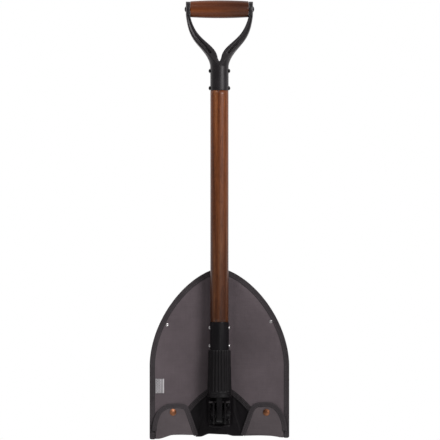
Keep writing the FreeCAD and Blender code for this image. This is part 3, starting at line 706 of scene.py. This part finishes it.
def fold_section(width, thickness, front_at, back_at, bulge=0.7):
    """Section of a tape folded over an edge: (inset, y) points round its outer and inner skins."""
    shares = (1.0, 0.97, 0.86, 0.76, 0.6, 0.4, 0.22, 0.09)
    rises = {1.0: thickness * 0.25, 0.76: thickness - 0.16}
    insets = [width * share for share in shares]
    skins = [rises.get(share, thickness) for share in shares]
    outer = [(inset, front_at(inset) - rise) for inset, rise in zip(insets, skins)]
    front_edge, back_edge = outer[-1][1], back_at(insets[-1]) + thickness
    middle = (front_edge + back_edge) / 2
    reach = (back_edge - front_edge) / 2
    for turn in (60, 30, 0, -30, -60):
        a = math.radians(turn)
        outer.append((insets[-1] - bulge * math.cos(a), middle - reach * math.sin(a)))
    outer += [(inset, back_at(inset) + rise) for inset, rise in zip(reversed(insets), reversed(skins))]
    inner = [(width, back_at(width) - 0.02), (width * 0.3, back_at(width * 0.3) - 0.05)]
    inner += [(width * 0.3, front_at(width * 0.3) + 0.05), (width, front_at(width) + 0.02)]
    return outer + inner


def stitches(name, path, normals, inset, skin, lift, body, outward=-1, pitch=3.7, length=2.5, radius=0.34,
             material=None):
    """A row of separate thread stitches along a path, each a small bent capsule lying on the cloth."""
    line = np.array([spot + normal * inset for spot, normal in zip(path, normals)])
    line = resample(line, pitch / 6)
    verts = []
    faces = []
    sides = 6
    for start in range(2, len(line) - 8, 6):
        end = start + max(int(round(length / pitch * 6)), 2)
        knots = line[start:end + 1]
        if len(knots) < 3:
            continue
        depth = skin(knots[:, 0], knots[:, 1])
        base = len(verts)
        rings = len(knots)
        for k, spot in enumerate(knots):
            along = knots[min(k + 1, rings - 1)] - knots[max(k - 1, 0)]
            along = along / np.linalg.norm(along)
            across = np.array([-along[1], along[0]])
            t = k / (rings - 1)
            sink = math.sin(math.pi * t) ** 0.6
            r = radius * (0.45 + 0.55 * sink)
            y0 = depth[k] + outward * (lift + radius * (sink - 0.75))
            for s in range(sides):
                a = 2 * math.pi * s / sides
                offset = across * r * math.cos(a)
                verts.append((spot[0] + offset[0], y0 + r * math.sin(a), spot[1] + offset[1]))
        for k in range(rings - 1):
            for s in range(sides):
                n = (s + 1) % sides
                faces.append((base + k * sides + s, base + (k + 1) * sides + s,
                              base + (k + 1) * sides + n, base + k * sides + n))
        faces.append(tuple(base + s for s in range(sides))[::-1])
        faces.append(tuple(base + (rings - 1) * sides + s for s in range(sides)))
    return put(name, verts, faces, body, material or THREAD)


# ------------------------------------------------------------------ cover pieces

COVER_BODY = "blade_and_cover"
FEET = {"right": 1.2, "left": -1.5}


def cover_panels():
    def front_border(x, z):
        corner_tab = smooth((np.abs(x) - 100.0) / 4.0)
        foot = np.where(x > 0, FEET["right"], FEET["left"]) + 0.8
        bottom = 14.0 + (foot - 14.0) * corner_tab
        return np.minimum(np.minimum(rim_distance(x, z) - 2.5, z - bottom), opening_distance(x, z) - 1.5)

    def back_border(x, z):
        foot_tab = smooth((np.abs(x) - COVER_HALF + 14.0) / 4.0)
        return np.minimum(rim_distance(x, z) - 2.5, z - 9.0 + 6.0 * foot_tab)

    front = sheet_mesh("cover_front_canvas", front_border, front_skin, -2.0, COVER_TIP, COVER_HALF, 2.0,
                       CLOTH, COVER_BODY, CANVAS, -1)
    back = sheet_mesh("cover_back_canvas", back_border, back_skin, -2.0, COVER_TIP, COVER_HALF, 2.0, CLOTH,
                      COVER_BODY, CANVAS, 1)
    settle(front, "cover_front")
    settle(back, "cover_back")
    return front, back


def round_foot(x, z):
    """Sideways place of a binding point once the lower corners of the feet are rounded off."""
    lift = max(z - FEET["right" if x > 0 else "left"], 0.0)
    outer, inner = 3.6, 1.0
    size = abs(x)
    if lift < outer:
        size = min(size, COVER_HALF - outer + math.sqrt(outer ** 2 - (outer - lift) ** 2))
    if lift < inner:
        size = max(size, COVER_HALF - BIND_WIDTH + inner - math.sqrt(inner ** 2 - (inner - lift) ** 2))
    return math.copysign(size, x)


def edge_binding():
    """Tape folded over the edge of both panels from foot to foot."""
    path = cover_path(1.1, FEET["right"], FEET["left"])
    normals = inward(path)
    insets = np.linspace(0, BIND_WIDTH, 20)
    fronts = np.array([front_skin(*(path + normals * k).T, np.full(len(path), k)) for k in insets])
    backs = np.array([back_skin(*(path + normals * k).T, np.full(len(path), k)) for k in insets])

    def section(i, spot, normal):
        return fold_section(BIND_WIDTH, 0.75, lambda d: float(np.interp(d, insets, fronts[:, i])),
                            lambda d: float(np.interp(d, insets, backs[:, i])))

    tape = sweep("edge_binding_tape", path, normals, section, COVER_BODY, TAPE, round_foot)
    settle(tape, "cover_edge_binding")
    for name, skin, outward in (("edge_stitch_front", front_skin, -1), ("edge_stitch_back", back_skin, 1)):
        settle(stitches(name, path, normals, BIND_WIDTH * 0.76, skin, 0.66, COVER_BODY, outward))
    for side, sign in (("right", 1), ("left", -1)):
        for k in range(3):
            height = {"right": 44.5, "left": 5.5}[side] + 3.4 * k
            bar = np.array([(sign * 112.6, height), (sign * 119.4, height)])
            across = np.array([(0.0, 1.0), (0.0, 1.0)])
            settle(stitches(f"bar_tack_{side}_{k + 1}", bar, across, 0.0, front_skin, 0.9, COVER_BODY,
                            pitch=1.6, length=1.5, radius=0.42))


def round_path(points, radius, pitch):
    """An open path of straight runs with rounded corners, evenly spaced."""
    made = [Vector(points[0])]
    for before, here, after in zip(points, points[1:], points[2:]):
        before, here, after = Vector(before), Vector(here), Vector(after)
        reach = min(radius, (before - here).length * 0.45, (after - here).length * 0.45)
        start = here + (before - here).normalized() * reach
        end = here + (after - here).normalized() * reach
        for k in range(9):
            t = k / 8
            made.append(start * (1 - t) ** 2 + here * 2 * t * (1 - t) + end * t ** 2)
    made.append(Vector(points[-1]))
    return resample([tuple(p) for p in made], pitch)


def opening_binding():
    """Tape along the upper sides of the front opening, hidden behind the collar at its top."""
    along, out, length = opening_slope()
    start = Vector(OPENING_TOP)
    half = []
    for share in np.linspace(0, 1, 13):
        half.append(start + along * length * share + out * OPENING_BOW * (1 - (2 * share - 1) ** 2))
    half.append(half[-1] + Vector((5.0, -4.6)))
    points = [(-p.x, p.y) for p in reversed(half)] + [tuple(p) for p in half]
    path = round_path(points, 4.0, 1.5)
    normals = inward(path)

    def section(i, spot, normal):
        def front_at(inset):
            p = spot + normal * inset
            return float(open_skin(np.array([p[0]]), np.array([p[1]]))[0])
        return fold_section(9.0, 0.6, front_at, lambda inset: front_at(inset) + 1.0, 0.4)

    # The opening tape takes the darker tape copy, a painted shade.
    tape = sweep("opening_binding_tape", path, normals, section, COVER_BODY, SHADED_OPENING_TAPE)
    settle(tape, "cover_opening_binding")
    for k, inset in enumerate((1.9, 4.4, 7.2)):
        settle(stitches(f"opening_stitch_{k + 1}", path, normals, inset, open_skin, 0.6, COVER_BODY))


def open_skin(x, z):
    """The front panel's outer face, well away from its rim."""
    return front_skin(x, z, np.full(np.shape(x), 40.0))


def back_hem():
    """Folded hem across the bottom of the back panel, over the roots of the flaps."""
    path = resample([(-COVER_HALF + 10.0, 8.6), (COVER_HALF - 10.0, 8.6)], 2.0)
    normals = inward(path)

    def back_at(spot, normal, d):
        p = spot + normal * d
        return float(back_skin(np.array([p[0]]), np.array([p[1]]), np.array([30.0]))[0])

    def section(i, spot, normal):
        outer = [(k, back_at(spot, normal, k) + t) for k, t in
                 ((0.0, 0.1), (0.15, 0.8), (1.2, 1.1), (5.0, 1.0), (9.0, 1.0), (9.8, 0.9), (10.2, 0.2))]
        inner = [(10.2, back_at(spot, normal, 10.2) - 0.1), (0.0, back_at(spot, normal, 0.0) - 0.4)]
        return outer + inner

    hem = sweep("back_hem", path, normals, section, COVER_BODY, CANVAS)
    settle(hem)
    def hem_skin(x, z):
        return back_skin(x, z, np.full(np.shape(x), 30.0))

    row = stitches("back_hem_stitch", path, normals, 8.2, hem_skin, 1.0, COVER_BODY, 1)
    settle(row)


# ------------------------------------------------------------------ flaps

FLAP_LIFT = 1.7
ARCH_TOP = {"left": 60.5, "right": 62.8}
FLAP_FLOOR = {"left": (5.6, 80.0, 6.2), "right": (4.4, 88.0, 3.0)}
ROLL = 3.8


def flap_floor(side, x):
    """Height of the flap's lowest edge, which sags towards its outer foot."""
    level, start, sag = FLAP_FLOOR[side]
    return level - sag * smooth((x - start) / 28.0) + 0.3 * np.sin(x / 9.0)


def flap_corners(side):
    """Outline of the right-hand flap's face from its inner foot, over the arch, to its outer foot."""
    top = ARCH_TOP[side]
    inner = [(36.8, 6.4), (49.6, 43.0), (52.4, 51.0), (57.5, 58.5)]
    arch = [(65.5, top), (78.0, top + 0.6), (91.0, top), (99.0, top - 4.0)]
    outer = [(106.8, 50.8), (112.3, 41.0), (115.8, 31.0), (117.4, 22.0), (117.8, 13.5)]
    return inner + arch + outer


def flap_path(side, pitch=1.4):
    return round_path(flap_corners(side), 6.0, pitch)


def flap_face(x, z):
    """Outer face of the right flap, standing a little off the front panel."""
    dent = 0.9 * np.exp(-(((x - 82.0) / 13.0) ** 2 + ((z - 45.5) / 10.0) ** 2))
    belly = 1.5 * np.exp(-((z - 20.0) / 16.0) ** 2) * smooth((x - 40.0) / 18.0) * smooth((116.0 - x) / 14.0)
    crumple = 0.4 * ripple(x, z, 1 / 15.0, 51.0) + 0.12 * ripple(x, z, 1 / 6.0, 5.0)
    return dish(MID_R, x) - 3.6 - FLAP_LIFT - belly - crumple + dent


def flap_roll(side, x, reach):
    """Height and depth along the flap's section: reach runs up the front from the bottom fold,
    and below zero it runs under the blade's step and up the back."""
    floor_z = flap_floor(side, x)
    front_y = flap_face(x, np.maximum(reach, 0.0) + floor_z + ROLL)
    back_y = dish(MID_R, x) + 3.9
    floor_len = back_y - front_y - 2 * ROLL
    quarter = ROLL * math.pi / 2
    turn = np.clip(-reach / quarter, 0, 1) * math.pi / 2
    past = np.clip(-reach - quarter, 0, None)
    rest = np.clip(past - floor_len, 0, None)
    turn_up = np.clip(rest / quarter, 0, 1) * math.pi / 2
    low_y = front_y + ROLL * (1 - np.cos(turn)) + np.minimum(past, floor_len) + ROLL * np.sin(turn_up)
    bend = ROLL * (1 - np.sin(turn)) + ROLL * (1 - np.cos(turn_up))
    low_z = floor_z + bend + np.clip(rest - quarter, 0, None)
    return np.where(reach < 0, low_y, front_y), np.where(reach < 0, low_z, reach + floor_z + ROLL)


def inside_polygon(x, z, corners):
    """Even-odd test of points against a closed polygon."""
    found = np.zeros(np.shape(x), bool)
    count = len(corners)
    for i in range(count):
        (x0, z0), (x1, z1) = corners[i], corners[(i + 1) % count]
        if z0 == z1:
            continue
        crosses = (z0 > z) != (z1 > z)
        found ^= crosses & (x < (x1 - x0) * (z - z0) / (z1 - z0) + x0)
    return found


def flap_cloth(side):
    """The flap's cloth: up the back under the hem, under the step, and up the front to the arch."""
    sign = 1 if side == "right" else -1
    edge = np.array(flap_path(side, 1.0))
    corners = [tuple(p) for p in edge] + [(118.2, -20.0), (36.8, -20.0)]

    def border(x, reach):
        z = flap_roll(side, x, reach)[1]
        spots = np.stack([np.ravel(x), np.ravel(z)], axis=1)
        squares = ((spots[:, None, :] - edge[None, :, :]) ** 2).sum(axis=2)
        gap = np.sqrt(squares.min(axis=1)).reshape(np.shape(x))
        face = np.where(inside_polygon(x, z, corners), gap, -gap) - 1.6
        face = np.where(z < 14.5, np.minimum(face, 110.8 - x), face)
        root = np.minimum(np.minimum(x - 43.0, 110.8 - x), reach + 28.0)
        return np.where(reach >= 0, face, root)

    x, reach, faces = trimmed_grid(np.arange(36.0, 119.0, 1.6), np.arange(-28.8, 60.0, 1.6), border)
    y, z = flap_roll(side, x, reach)
    body = side + "_flap"
    points = np.stack([sign * x, y, z], axis=1).tolist()
    # The flap cloth takes the darker canvas copy, a painted shade.
    piece = cloth_piece("flap_canvas_" + side, points, faces, CLOTH, body, SHADED_FLAP_CANVAS, -1)
    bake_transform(piece)
    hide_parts("flap_" + side)
    return piece


def flap_binding(side):
    """Tape folded over the flap's free edge, with two rows of stitches."""
    sign = 1 if side == "right" else -1
    path = flap_path(side)
    normals = -inward(path)
    mirror = np.array([sign, 1.0])

    def section(i, spot, normal):
        def face_at(inset):
            p = spot + normal * inset
            return float(flap_face(np.array([abs(p[0])]), np.array([p[1]]))[0])
        return fold_section(8.5, 0.65, face_at, lambda inset: face_at(inset) + CLOTH, 0.5)

    def face(x, z):
        return flap_face(np.abs(x), z)

    body = side + "_flap"
    tape = sweep("flap_tape_" + side, path * mirror, normals * mirror, section, body, TAPE)
    settle(tape, "flap_binding_" + side)
    for k, inset in enumerate((1.8, 6.5)):
        name = f"flap_stitch_{side}_{k + 1}"
        settle(stitches(name, path * mirror, normals * mirror, inset, face, 0.6, body))


# ------------------------------------------------------------------ metal trim on the cloth

def turned_button(name, x, height, skin_y, profile, body, material, nodes, outward=-1, steps=48):
    """A turned piece standing on the dished cloth, square to it."""
    verts = []
    lean = math.asin(x / MID_R)
    out = Vector((math.sin(lean), math.cos(lean), 0)) * outward
    side = Vector((0, 0, 1)).cross(out).normalized()
    centre = Vector((x, skin_y, height))
    for i in range(steps):
        turn = 2 * math.pi * i / steps
        round_dir = side * math.cos(turn) + Vector((0, 0, 1)) * math.sin(turn)
        for radius, rise in profile:
            verts.append(tuple(centre + round_dir * radius + out * rise))
    count = len(profile)
    faces = []
    for i in range(steps):
        j = (i + 1) % steps
        for k in range(count - 1):
            faces.append((i * count + k, j * count + k, j * count + k + 1, i * count + k + 1))
    faces.append(tuple(i * count for i in range(steps)))
    faces.append(tuple(i * count + count - 1 for i in range(steps)))
    piece = put(name, verts, faces, body, material)
    settle(piece, *nodes)
    return piece


CAP_PROFILE = [(0.05, -0.4), (5.6, -0.4), (6.0, -0.1), (6.15, 0.35), (5.95, 0.8), (5.4, 1.05), (5.0, 1.02),
               (4.6, 1.3), (3.9, 1.75), (3.0, 2.05), (1.8, 2.22), (0.8, 2.28), (0.05, 2.3)]
EYELET_PROFILE = [(0.05, -0.3), (2.6, -0.3), (3.0, -0.05), (3.05, 0.3), (2.8, 0.65), (2.3, 0.95), (1.6, 1.05),
                  (1.2, 0.9), (0.9, 0.7), (0.05, 0.62)]


def snaps_and_rivets():
    for side, sign, x in (("left", -1, 81.0), ("right", 1, 82.0)):
        y = float(flap_face(np.array([x]), np.array([45.5]))[0])
        turned_button("snap_button_" + side, sign * x, 45.5, y, CAP_PROFILE, side + "_flap",
                      COPPER, ["snap_cap_" + side])
    for side, x, height in (("left", -91.0, 198.0), ("right", 89.5, 204.0)):
        y = float(front_skin(np.array([x]), np.array([height]))[0])
        turned_button("edge_eyelet_" + side, x, height, y, EYELET_PROFILE, COVER_BODY,
                      SILVER, ["edge_rivet_" + side])
        y = float(back_skin(np.array([x]), np.array([height]))[0])
        turned_button("edge_eyelet_back_" + side, x, height, y, EYELET_PROFILE, COVER_BODY,
                      SILVER, [], outward=1)


def label():
    """Small woven label, bowed a little off the cloth in its middle; its turned-under, sewn-down ends are not
    modelled.
    """
    x0, x1, z0, z1 = -111.6, -96.6, 79.0, 104.0
    xs = np.linspace(x0, x1, 16)
    zs = np.linspace(z0, z1, 26)
    verts = []
    for z in zs:
        for x in xs:
            up = math.sin(math.pi * (z - z0) / (z1 - z0))
            over = math.sin(math.pi * (x - x0) / (x1 - x0))
            lift = 0.85 + 0.25 * up * over
            verts.append((x, float(front_skin(np.array([x]), np.array([z]))[0]) - lift, z))
    cols = len(xs)
    faces = [(i * cols + j, i * cols + j + 1, (i + 1) * cols + j + 1, (i + 1) * cols + j)
             for i in range(len(zs) - 1) for j in range(cols - 1)]
    piece = put("woven_label", verts, faces, COVER_BODY, LABEL)
    face_out(piece, -1)
    thick = piece.modifiers.new("thickness", "SOLIDIFY")
    thick.thickness = 0.4 * MM
    settle(piece, "label")
    return piece


# ------------------------------------------------------------------ blade and hinge

def blade_face(x, z):
    """Front face of the blade: dished, with a pressed frog that fades upwards under the cover."""
    half = 26.0 + 9.0 * smooth((50.0 - z) / 40.0)
    frog = smooth((half + 2.5 - np.abs(x)) / 3.0) * smooth((118.0 - z) / 70.0)
    seat = smooth((23.0 - np.abs(x)) / 3.0) * smooth((z - 20.0) / 5.0) * smooth((72.0 - z) / 5.0)
    lean = 0.30 * (z - 20.0)
    flutes = sum(np.exp(-((np.abs(x) - place + lean) / 1.2) ** 2) for place in (30.5, 35.0, 39.5))
    shown = smooth((70.0 - z) / 14.0) * smooth((z - 12.0) / 8.0) * smooth((np.abs(x) - 19.0) / 3.0)
    return dish(260.0, x) - 0.9 * frog + 0.9 * seat + 0.45 * flutes * shown


def blade():
    """Dished plate with a deep and a shallow lobe at its lower edge, and a rolled lip under the hinge."""
    def border(x, z):
        middle = 6.5 - 0.045 * np.clip(x, -20.0, 20.0)
        deep = 5.1 * smooth((-x - 17.0) / 17.0)
        shallow = 2.0 * smooth((x - 13.0) / 12.0)
        low = middle - (deep + shallow) * smooth((42.5 - np.abs(x)) / 1.5)
        return np.minimum(rim_distance(x, z) - BLADE_INSET, z - low)

    plate = sheet_mesh("blade_plate", border, blade_face, 1.5, COVER_TIP, COVER_HALF, 1.5, 2.0, COVER_BODY,
                       BLADE_BLACK, -1)
    settle(plate, "blade")
    sides, rings = 14, 28
    verts = []
    for i in range(rings + 1):
        t = i / rings * 2 - 1
        r = 2.9 * max(1 - abs(t) ** 6, 0.0) ** 0.5 + 0.02
        for s in range(sides):
            a = 2 * math.pi * s / sides
            verts.append((19.5 * t, 25.2 + r * math.sin(a) * 0.9, 20.3 + 1.1 * t * t + r * math.cos(a)))
    faces = []
    for i in range(rings):
        for s in range(sides):
            n = (s + 1) % sides
            faces.append((i * sides + s, (i + 1) * sides + s, (i + 1) * sides + n, i * sides + n))
    faces.append(tuple(range(sides)))
    faces.append(tuple(rings * sides + s for s in range(sides)))
    settle(put("blade_lip", verts, faces, COVER_BODY, BLADE_BLACK))


# ------------------------------------------------------------------ handle pieces

def handle_wood():
    low, high = node_mm("shaft")
    r = (high.x - low.x) / 2
    bottom, top = SHAFT_ENDS
    tenon_low, tenon_high = low.z, high.z
    rows = np.linspace(bottom, top, 60)
    rim = 0.55
    profile = [(0.3, tenon_low), (14.5, tenon_low), (14.5, bottom - 0.2)]
    profile += [(r - rim, bottom), (r - 0.1, bottom + 0.25)]
    profile += [(r - 0.02 + 0.05 * noise.noise(Vector((0, 0, z * 0.02))), float(z)) for z in rows[1:-1]]
    profile += [(r - 0.1, top - 0.25), (r - rim, top)]
    profile += [(13.9, top + 0.1), (13.9, tenon_high), (0.3, tenon_high)]
    piece = lathe("shaft_walnut", profile, "handle", WALNUT, 128)
    settle(piece, "shaft")

    low, high = node_mm("grip")
    centre = (0.0, 0.0, (low.z + high.z) / 2)
    half = (high.x - low.x) / 2
    mid_r = (high.y - low.y) / 2
    end_r = mid_r - 1.7
    rows = []
    for turn in np.linspace(-math.pi / 2, math.pi / 2, 61):
        x = half * math.sin(turn)
        ease = 1.1 * float(smooth((abs(x) - half + 1.1) / 1.1)) ** 2
        rows.append((end_r + (mid_r - end_r) * math.cos(turn) ** 1.8 - ease, x))
    profile = [(3.1, -half)] + rows + [(3.1, half)]
    piece = lathe("grip_walnut", profile, "handle", GRIP_WOOD, 96, "X", centre)
    settle(piece, "grip")


def handle_steel():
    low, high = node_mm("ferrule")
    r = (high.x - low.x) / 2
    profile = rounded([(14.75, low.z), (r, low.z), (r, high.z), (14.75, high.z)], 0.6)
    settle(lathe("ferrule_tube", profile, "handle", FERRULE_BLACK, 128), "ferrule")
    cast_copy("yoke", YOKE_BLACK, 0.75, 6)


def cast_copy(name, material, voxel, rounds):
    """A copy of a CAD piece with its edges melted into soft forged ones."""
    source = frame["nodes"][name]
    mesh = source.data.copy()
    mesh.materials.clear()
    mesh.materials.append(material)
    piece = bpy.data.objects.new(name + "_forged", mesh)
    bpy.context.collection.objects.link(piece)
    weld = piece.modifiers.new("weld", "WELD")
    weld.merge_threshold = 0.00002
    melt = piece.modifiers.new("melt", "REMESH")
    melt.mode = "VOXEL"
    melt.voxel_size = voxel * MM
    melt.use_smooth_shade = True
    relax = piece.modifiers.new("relax", "SMOOTH")
    relax.factor = 0.5
    relax.iterations = rounds
    apply_modifiers(piece)
    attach(piece, body_of_node(name))
    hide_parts(name)
    return piece


def apply_modifiers(piece):
    """Replace the piece's mesh by what its modifiers make of it."""
    view = bpy.context.evaluated_depsgraph_get()
    made = bpy.data.meshes.new_from_object(piece.evaluated_get(view))
    piece.modifiers.clear()
    piece.data = made
    for poly in made.polygons:
        poly.use_smooth = True


def cross_rivets():
    """Domed rivet heads with a small flat, one on each side of the sleeve or ferrule."""
    for name in ("yoke_rivet_lower", "yoke_rivet_upper"):
        refine(name, RIVET_BLACK, 0.3)
    for name in ("ferrule_rivet_lower", "ferrule_rivet_upper"):
        refine(name, SILVER, 0.3)
    for name in ("grip_bolt", "grip_nut"):
        refine(name, RIVET_BLACK, 0.3)


def collar():
    """Ribbed screw collar: narrow flutes between broad ribs, tapering a little towards the top."""
    low, high = node_mm("collar_sleeve")
    bottom_r = 21.3
    top_r = 19.3
    ribs = 20
    around = ribs * 14
    rows = [0.0, 0.4, 0.9, 2.2, 3.0, 3.6, 4.6, 6.5]
    rows += list(np.linspace(9.0, 70.0, 18))
    rows += [72.5, 74.3, 75.2, 75.6, 75.8]
    inner_r = 17.0
    verts = []
    for rise in rows:
        t = rise / (high.z - low.z)
        base_r = bottom_r + (top_r - bottom_r) * t
        rim = 0.5 * (1 - float(smooth(rise / 0.9))) + 0.5 * float(smooth((rise - 75.0) / 0.8))
        depth = 1.05 * float(smooth((rise - 2.4) / 2.4)) * (1.0 - 0.15 * float(smooth((rise - 74) / 1.5)))
        for i in range(around):
            turn = 2 * math.pi * i / around
            phase = (turn * ribs / (2 * math.pi)) % 1.0
            groove = math.exp(-((phase - 0.5) / 0.15) ** 2)
            crown = 0.18 * math.cos(2 * math.pi * phase)
            radius = base_r - rim - depth * groove + crown * float(smooth((rise - 2.4) / 2.4)) - 0.15
            verts.append((radius * math.cos(turn), radius * math.sin(turn), low.z + rise))
    last = high.z - low.z
    for rise in (last, 0.0):
        for i in range(around):
            turn = 2 * math.pi * i / around
            verts.append((inner_r * math.cos(turn), inner_r * math.sin(turn), low.z + rise))
    total = len(rows) + 2
    faces = []
    for k in range(total):
        m = (k + 1) % total
        for i in range(around):
            j = (i + 1) % around
            faces.append((k * around + i, k * around + j, m * around + j, m * around + i))
    piece = put("collar_ribbed", verts, faces, "locking_collar", COLLAR_BLACK)
    settle(piece, "collar_sleeve")
    low, high = node_mm("thrust_ring")
    r, bore = 21.3, 15.3
    z0, z1 = low.z, high.z
    corners = [(bore, z0), (r - 0.3, z0), (r, z0 + 0.5), (r, z0 + 2.3), (r - 0.45, z0 + 2.7)]
    corners += [(r - 0.45, z0 + 3.3), (r, z0 + 3.7), (r, z1 - 0.5), (r - 0.4, z1), (bore, z1)]
    profile = rounded(corners, 0.35)
    ring = lathe("thrust_ring_turned", profile, "locking_ring", COLLAR_BLACK, 128)
    settle(ring, "thrust_ring")


def hinge():
    for name in ("hinge_bracket", "hinge_stub", "pivot_bolt", "pivot_nut", "pivot_spacer_left",
                 "pivot_spacer_right", "bracket_rivets"):
        refine(name, HINGE_BLACK, 0.4)


def hidden_metal():
    """Inner pieces keep their CAD shape and take a turned finish."""
    finishes = {"tang_bush": BRONZE, "collar_nut": BRONZE}
    for side in ("left", "right"):
        finishes["snap_socket_" + side] = COPPER
        finishes["snap_stud_" + side] = COPPER
    for name, material in finishes.items():
        shown = frame["nodes"][name]
        if not shown.material_slots:
            shown.data.materials.append(material)
        for place in shown.material_slots:
            place.material = material


# ------------------------------------------------------------------ stage, light and camera

def stage():
    """Pale floor well under the hanging tool, a high soft key on the right and two weaker fills."""
    place = (0, 0, BASE - 0.30)
    bpy.ops.mesh.primitive_circle_add(vertices=96, radius=1.7, fill_type="NGON", location=place)
    floor = bpy.context.object
    floor.name = "floor"
    floor.data.materials.append(new_material("pale_floor", (0.84, 0.87, 0.855), 0.9, specular=0.1)[0])
    surroundings(0.13, 0.30, 0.95)
    softbox("key", (1.15, -1.45, BASE + 1.15), (0.0, 0.0, BASE + 0.65), 0.75, 0.5, 31.0)
    softbox("overhead", (-0.60, -0.85, BASE + 1.75), (0.0, 0.0, BASE + 0.70), 0.6, 0.5, 5.0)
    softbox("front", (0.45, -2.30, BASE + 0.25), (0.0, 0.0, BASE + 0.22), 0.25, 0.5, 2.0)
    fill = softbox("fill", (-1.95, -1.30, BASE + 0.45), (0.0, 0.0, BASE + 0.30), 0.6, 1.3, 5.0)
    fill.visible_glossy = False


def surroundings(low, high, behind):
    """White room, dimmer in front of the tool and darkest below, that is seen as pure white."""
    world = bpy.data.worlds.new("studio")
    bpy.context.scene.world = world
    world.use_nodes = True
    tree = world.node_tree
    parts = node(tree, "ShaderNodeSeparateXYZ")
    tree.links.new(node(tree, "ShaderNodeTexCoord").outputs["Generated"], parts.inputs[0])
    front = spread(tree, parts.outputs["Z"], (-0.7, 0.7), (low, high))
    depth = spread(tree, parts.outputs["Y"], (-0.25, 0.45), (0.0, 1.0))
    room = maths(tree, "ADD", maths(tree, "MULTIPLY", front, maths(tree, "SUBTRACT", 1.0, depth)),
                 maths(tree, "MULTIPLY", depth, behind))
    path = node(tree, "ShaderNodeLightPath")
    back = tree.nodes["Background"]
    tint = mix_colour(tree, path.outputs["Is Camera Ray"], LIGHT_TINT, (1.0, 1.0, 1.0))
    tree.links.new(tint, back.inputs["Color"])
    tree.links.new(maths(tree, "MAXIMUM", room, path.outputs["Is Camera Ray"]), back.inputs["Strength"])


def softbox(name, place, target, width, height, power):
    lamp = bpy.data.lights.new(name, "AREA")
    lamp.shape = "RECTANGLE"
    lamp.size = width
    lamp.size_y = height
    lamp.energy = power
    lamp.color = LIGHT_TINT
    rig = bpy.data.objects.new(name, lamp)
    bpy.context.collection.objects.link(rig)
    rig.location = place
    aim = Vector(target) - Vector(place)
    rig.rotation_mode = "QUATERNION"
    rig.rotation_quaternion = aim.to_track_quat("-Z", "Y")
    return rig


def camera():
    """Level view square to the hinge side, with a long lens."""
    lens = 500.0
    sensor = 36.0
    frame_height = 0.7674
    lens_data = bpy.data.cameras.new("camera")
    lens_data.lens = lens
    lens_data.sensor_width = sensor
    rig = bpy.data.objects.new("camera", lens_data)
    bpy.context.collection.objects.link(rig)
    distance = frame_height * lens / sensor
    rig.location = (0.001, -distance, BASE + 0.3811)
    rig.rotation_euler = (math.radians(90), 0, 0)
    bpy.context.scene.camera = rig
    bpy.context.scene.view_settings.view_transform = "Standard"


def main():
    camera()
    stage()
    handle_wood()
    handle_steel()
    cross_rivets()
    collar()
    hinge()
    hidden_metal()
    blade()
    front, back = cover_panels()
    edge_binding()
    opening_binding()
    back_hem()
    for side in ("left", "right"):
        flap_cloth(side)
        flap_binding(side)
    snaps_and_rivets()
    tag = label()


main()
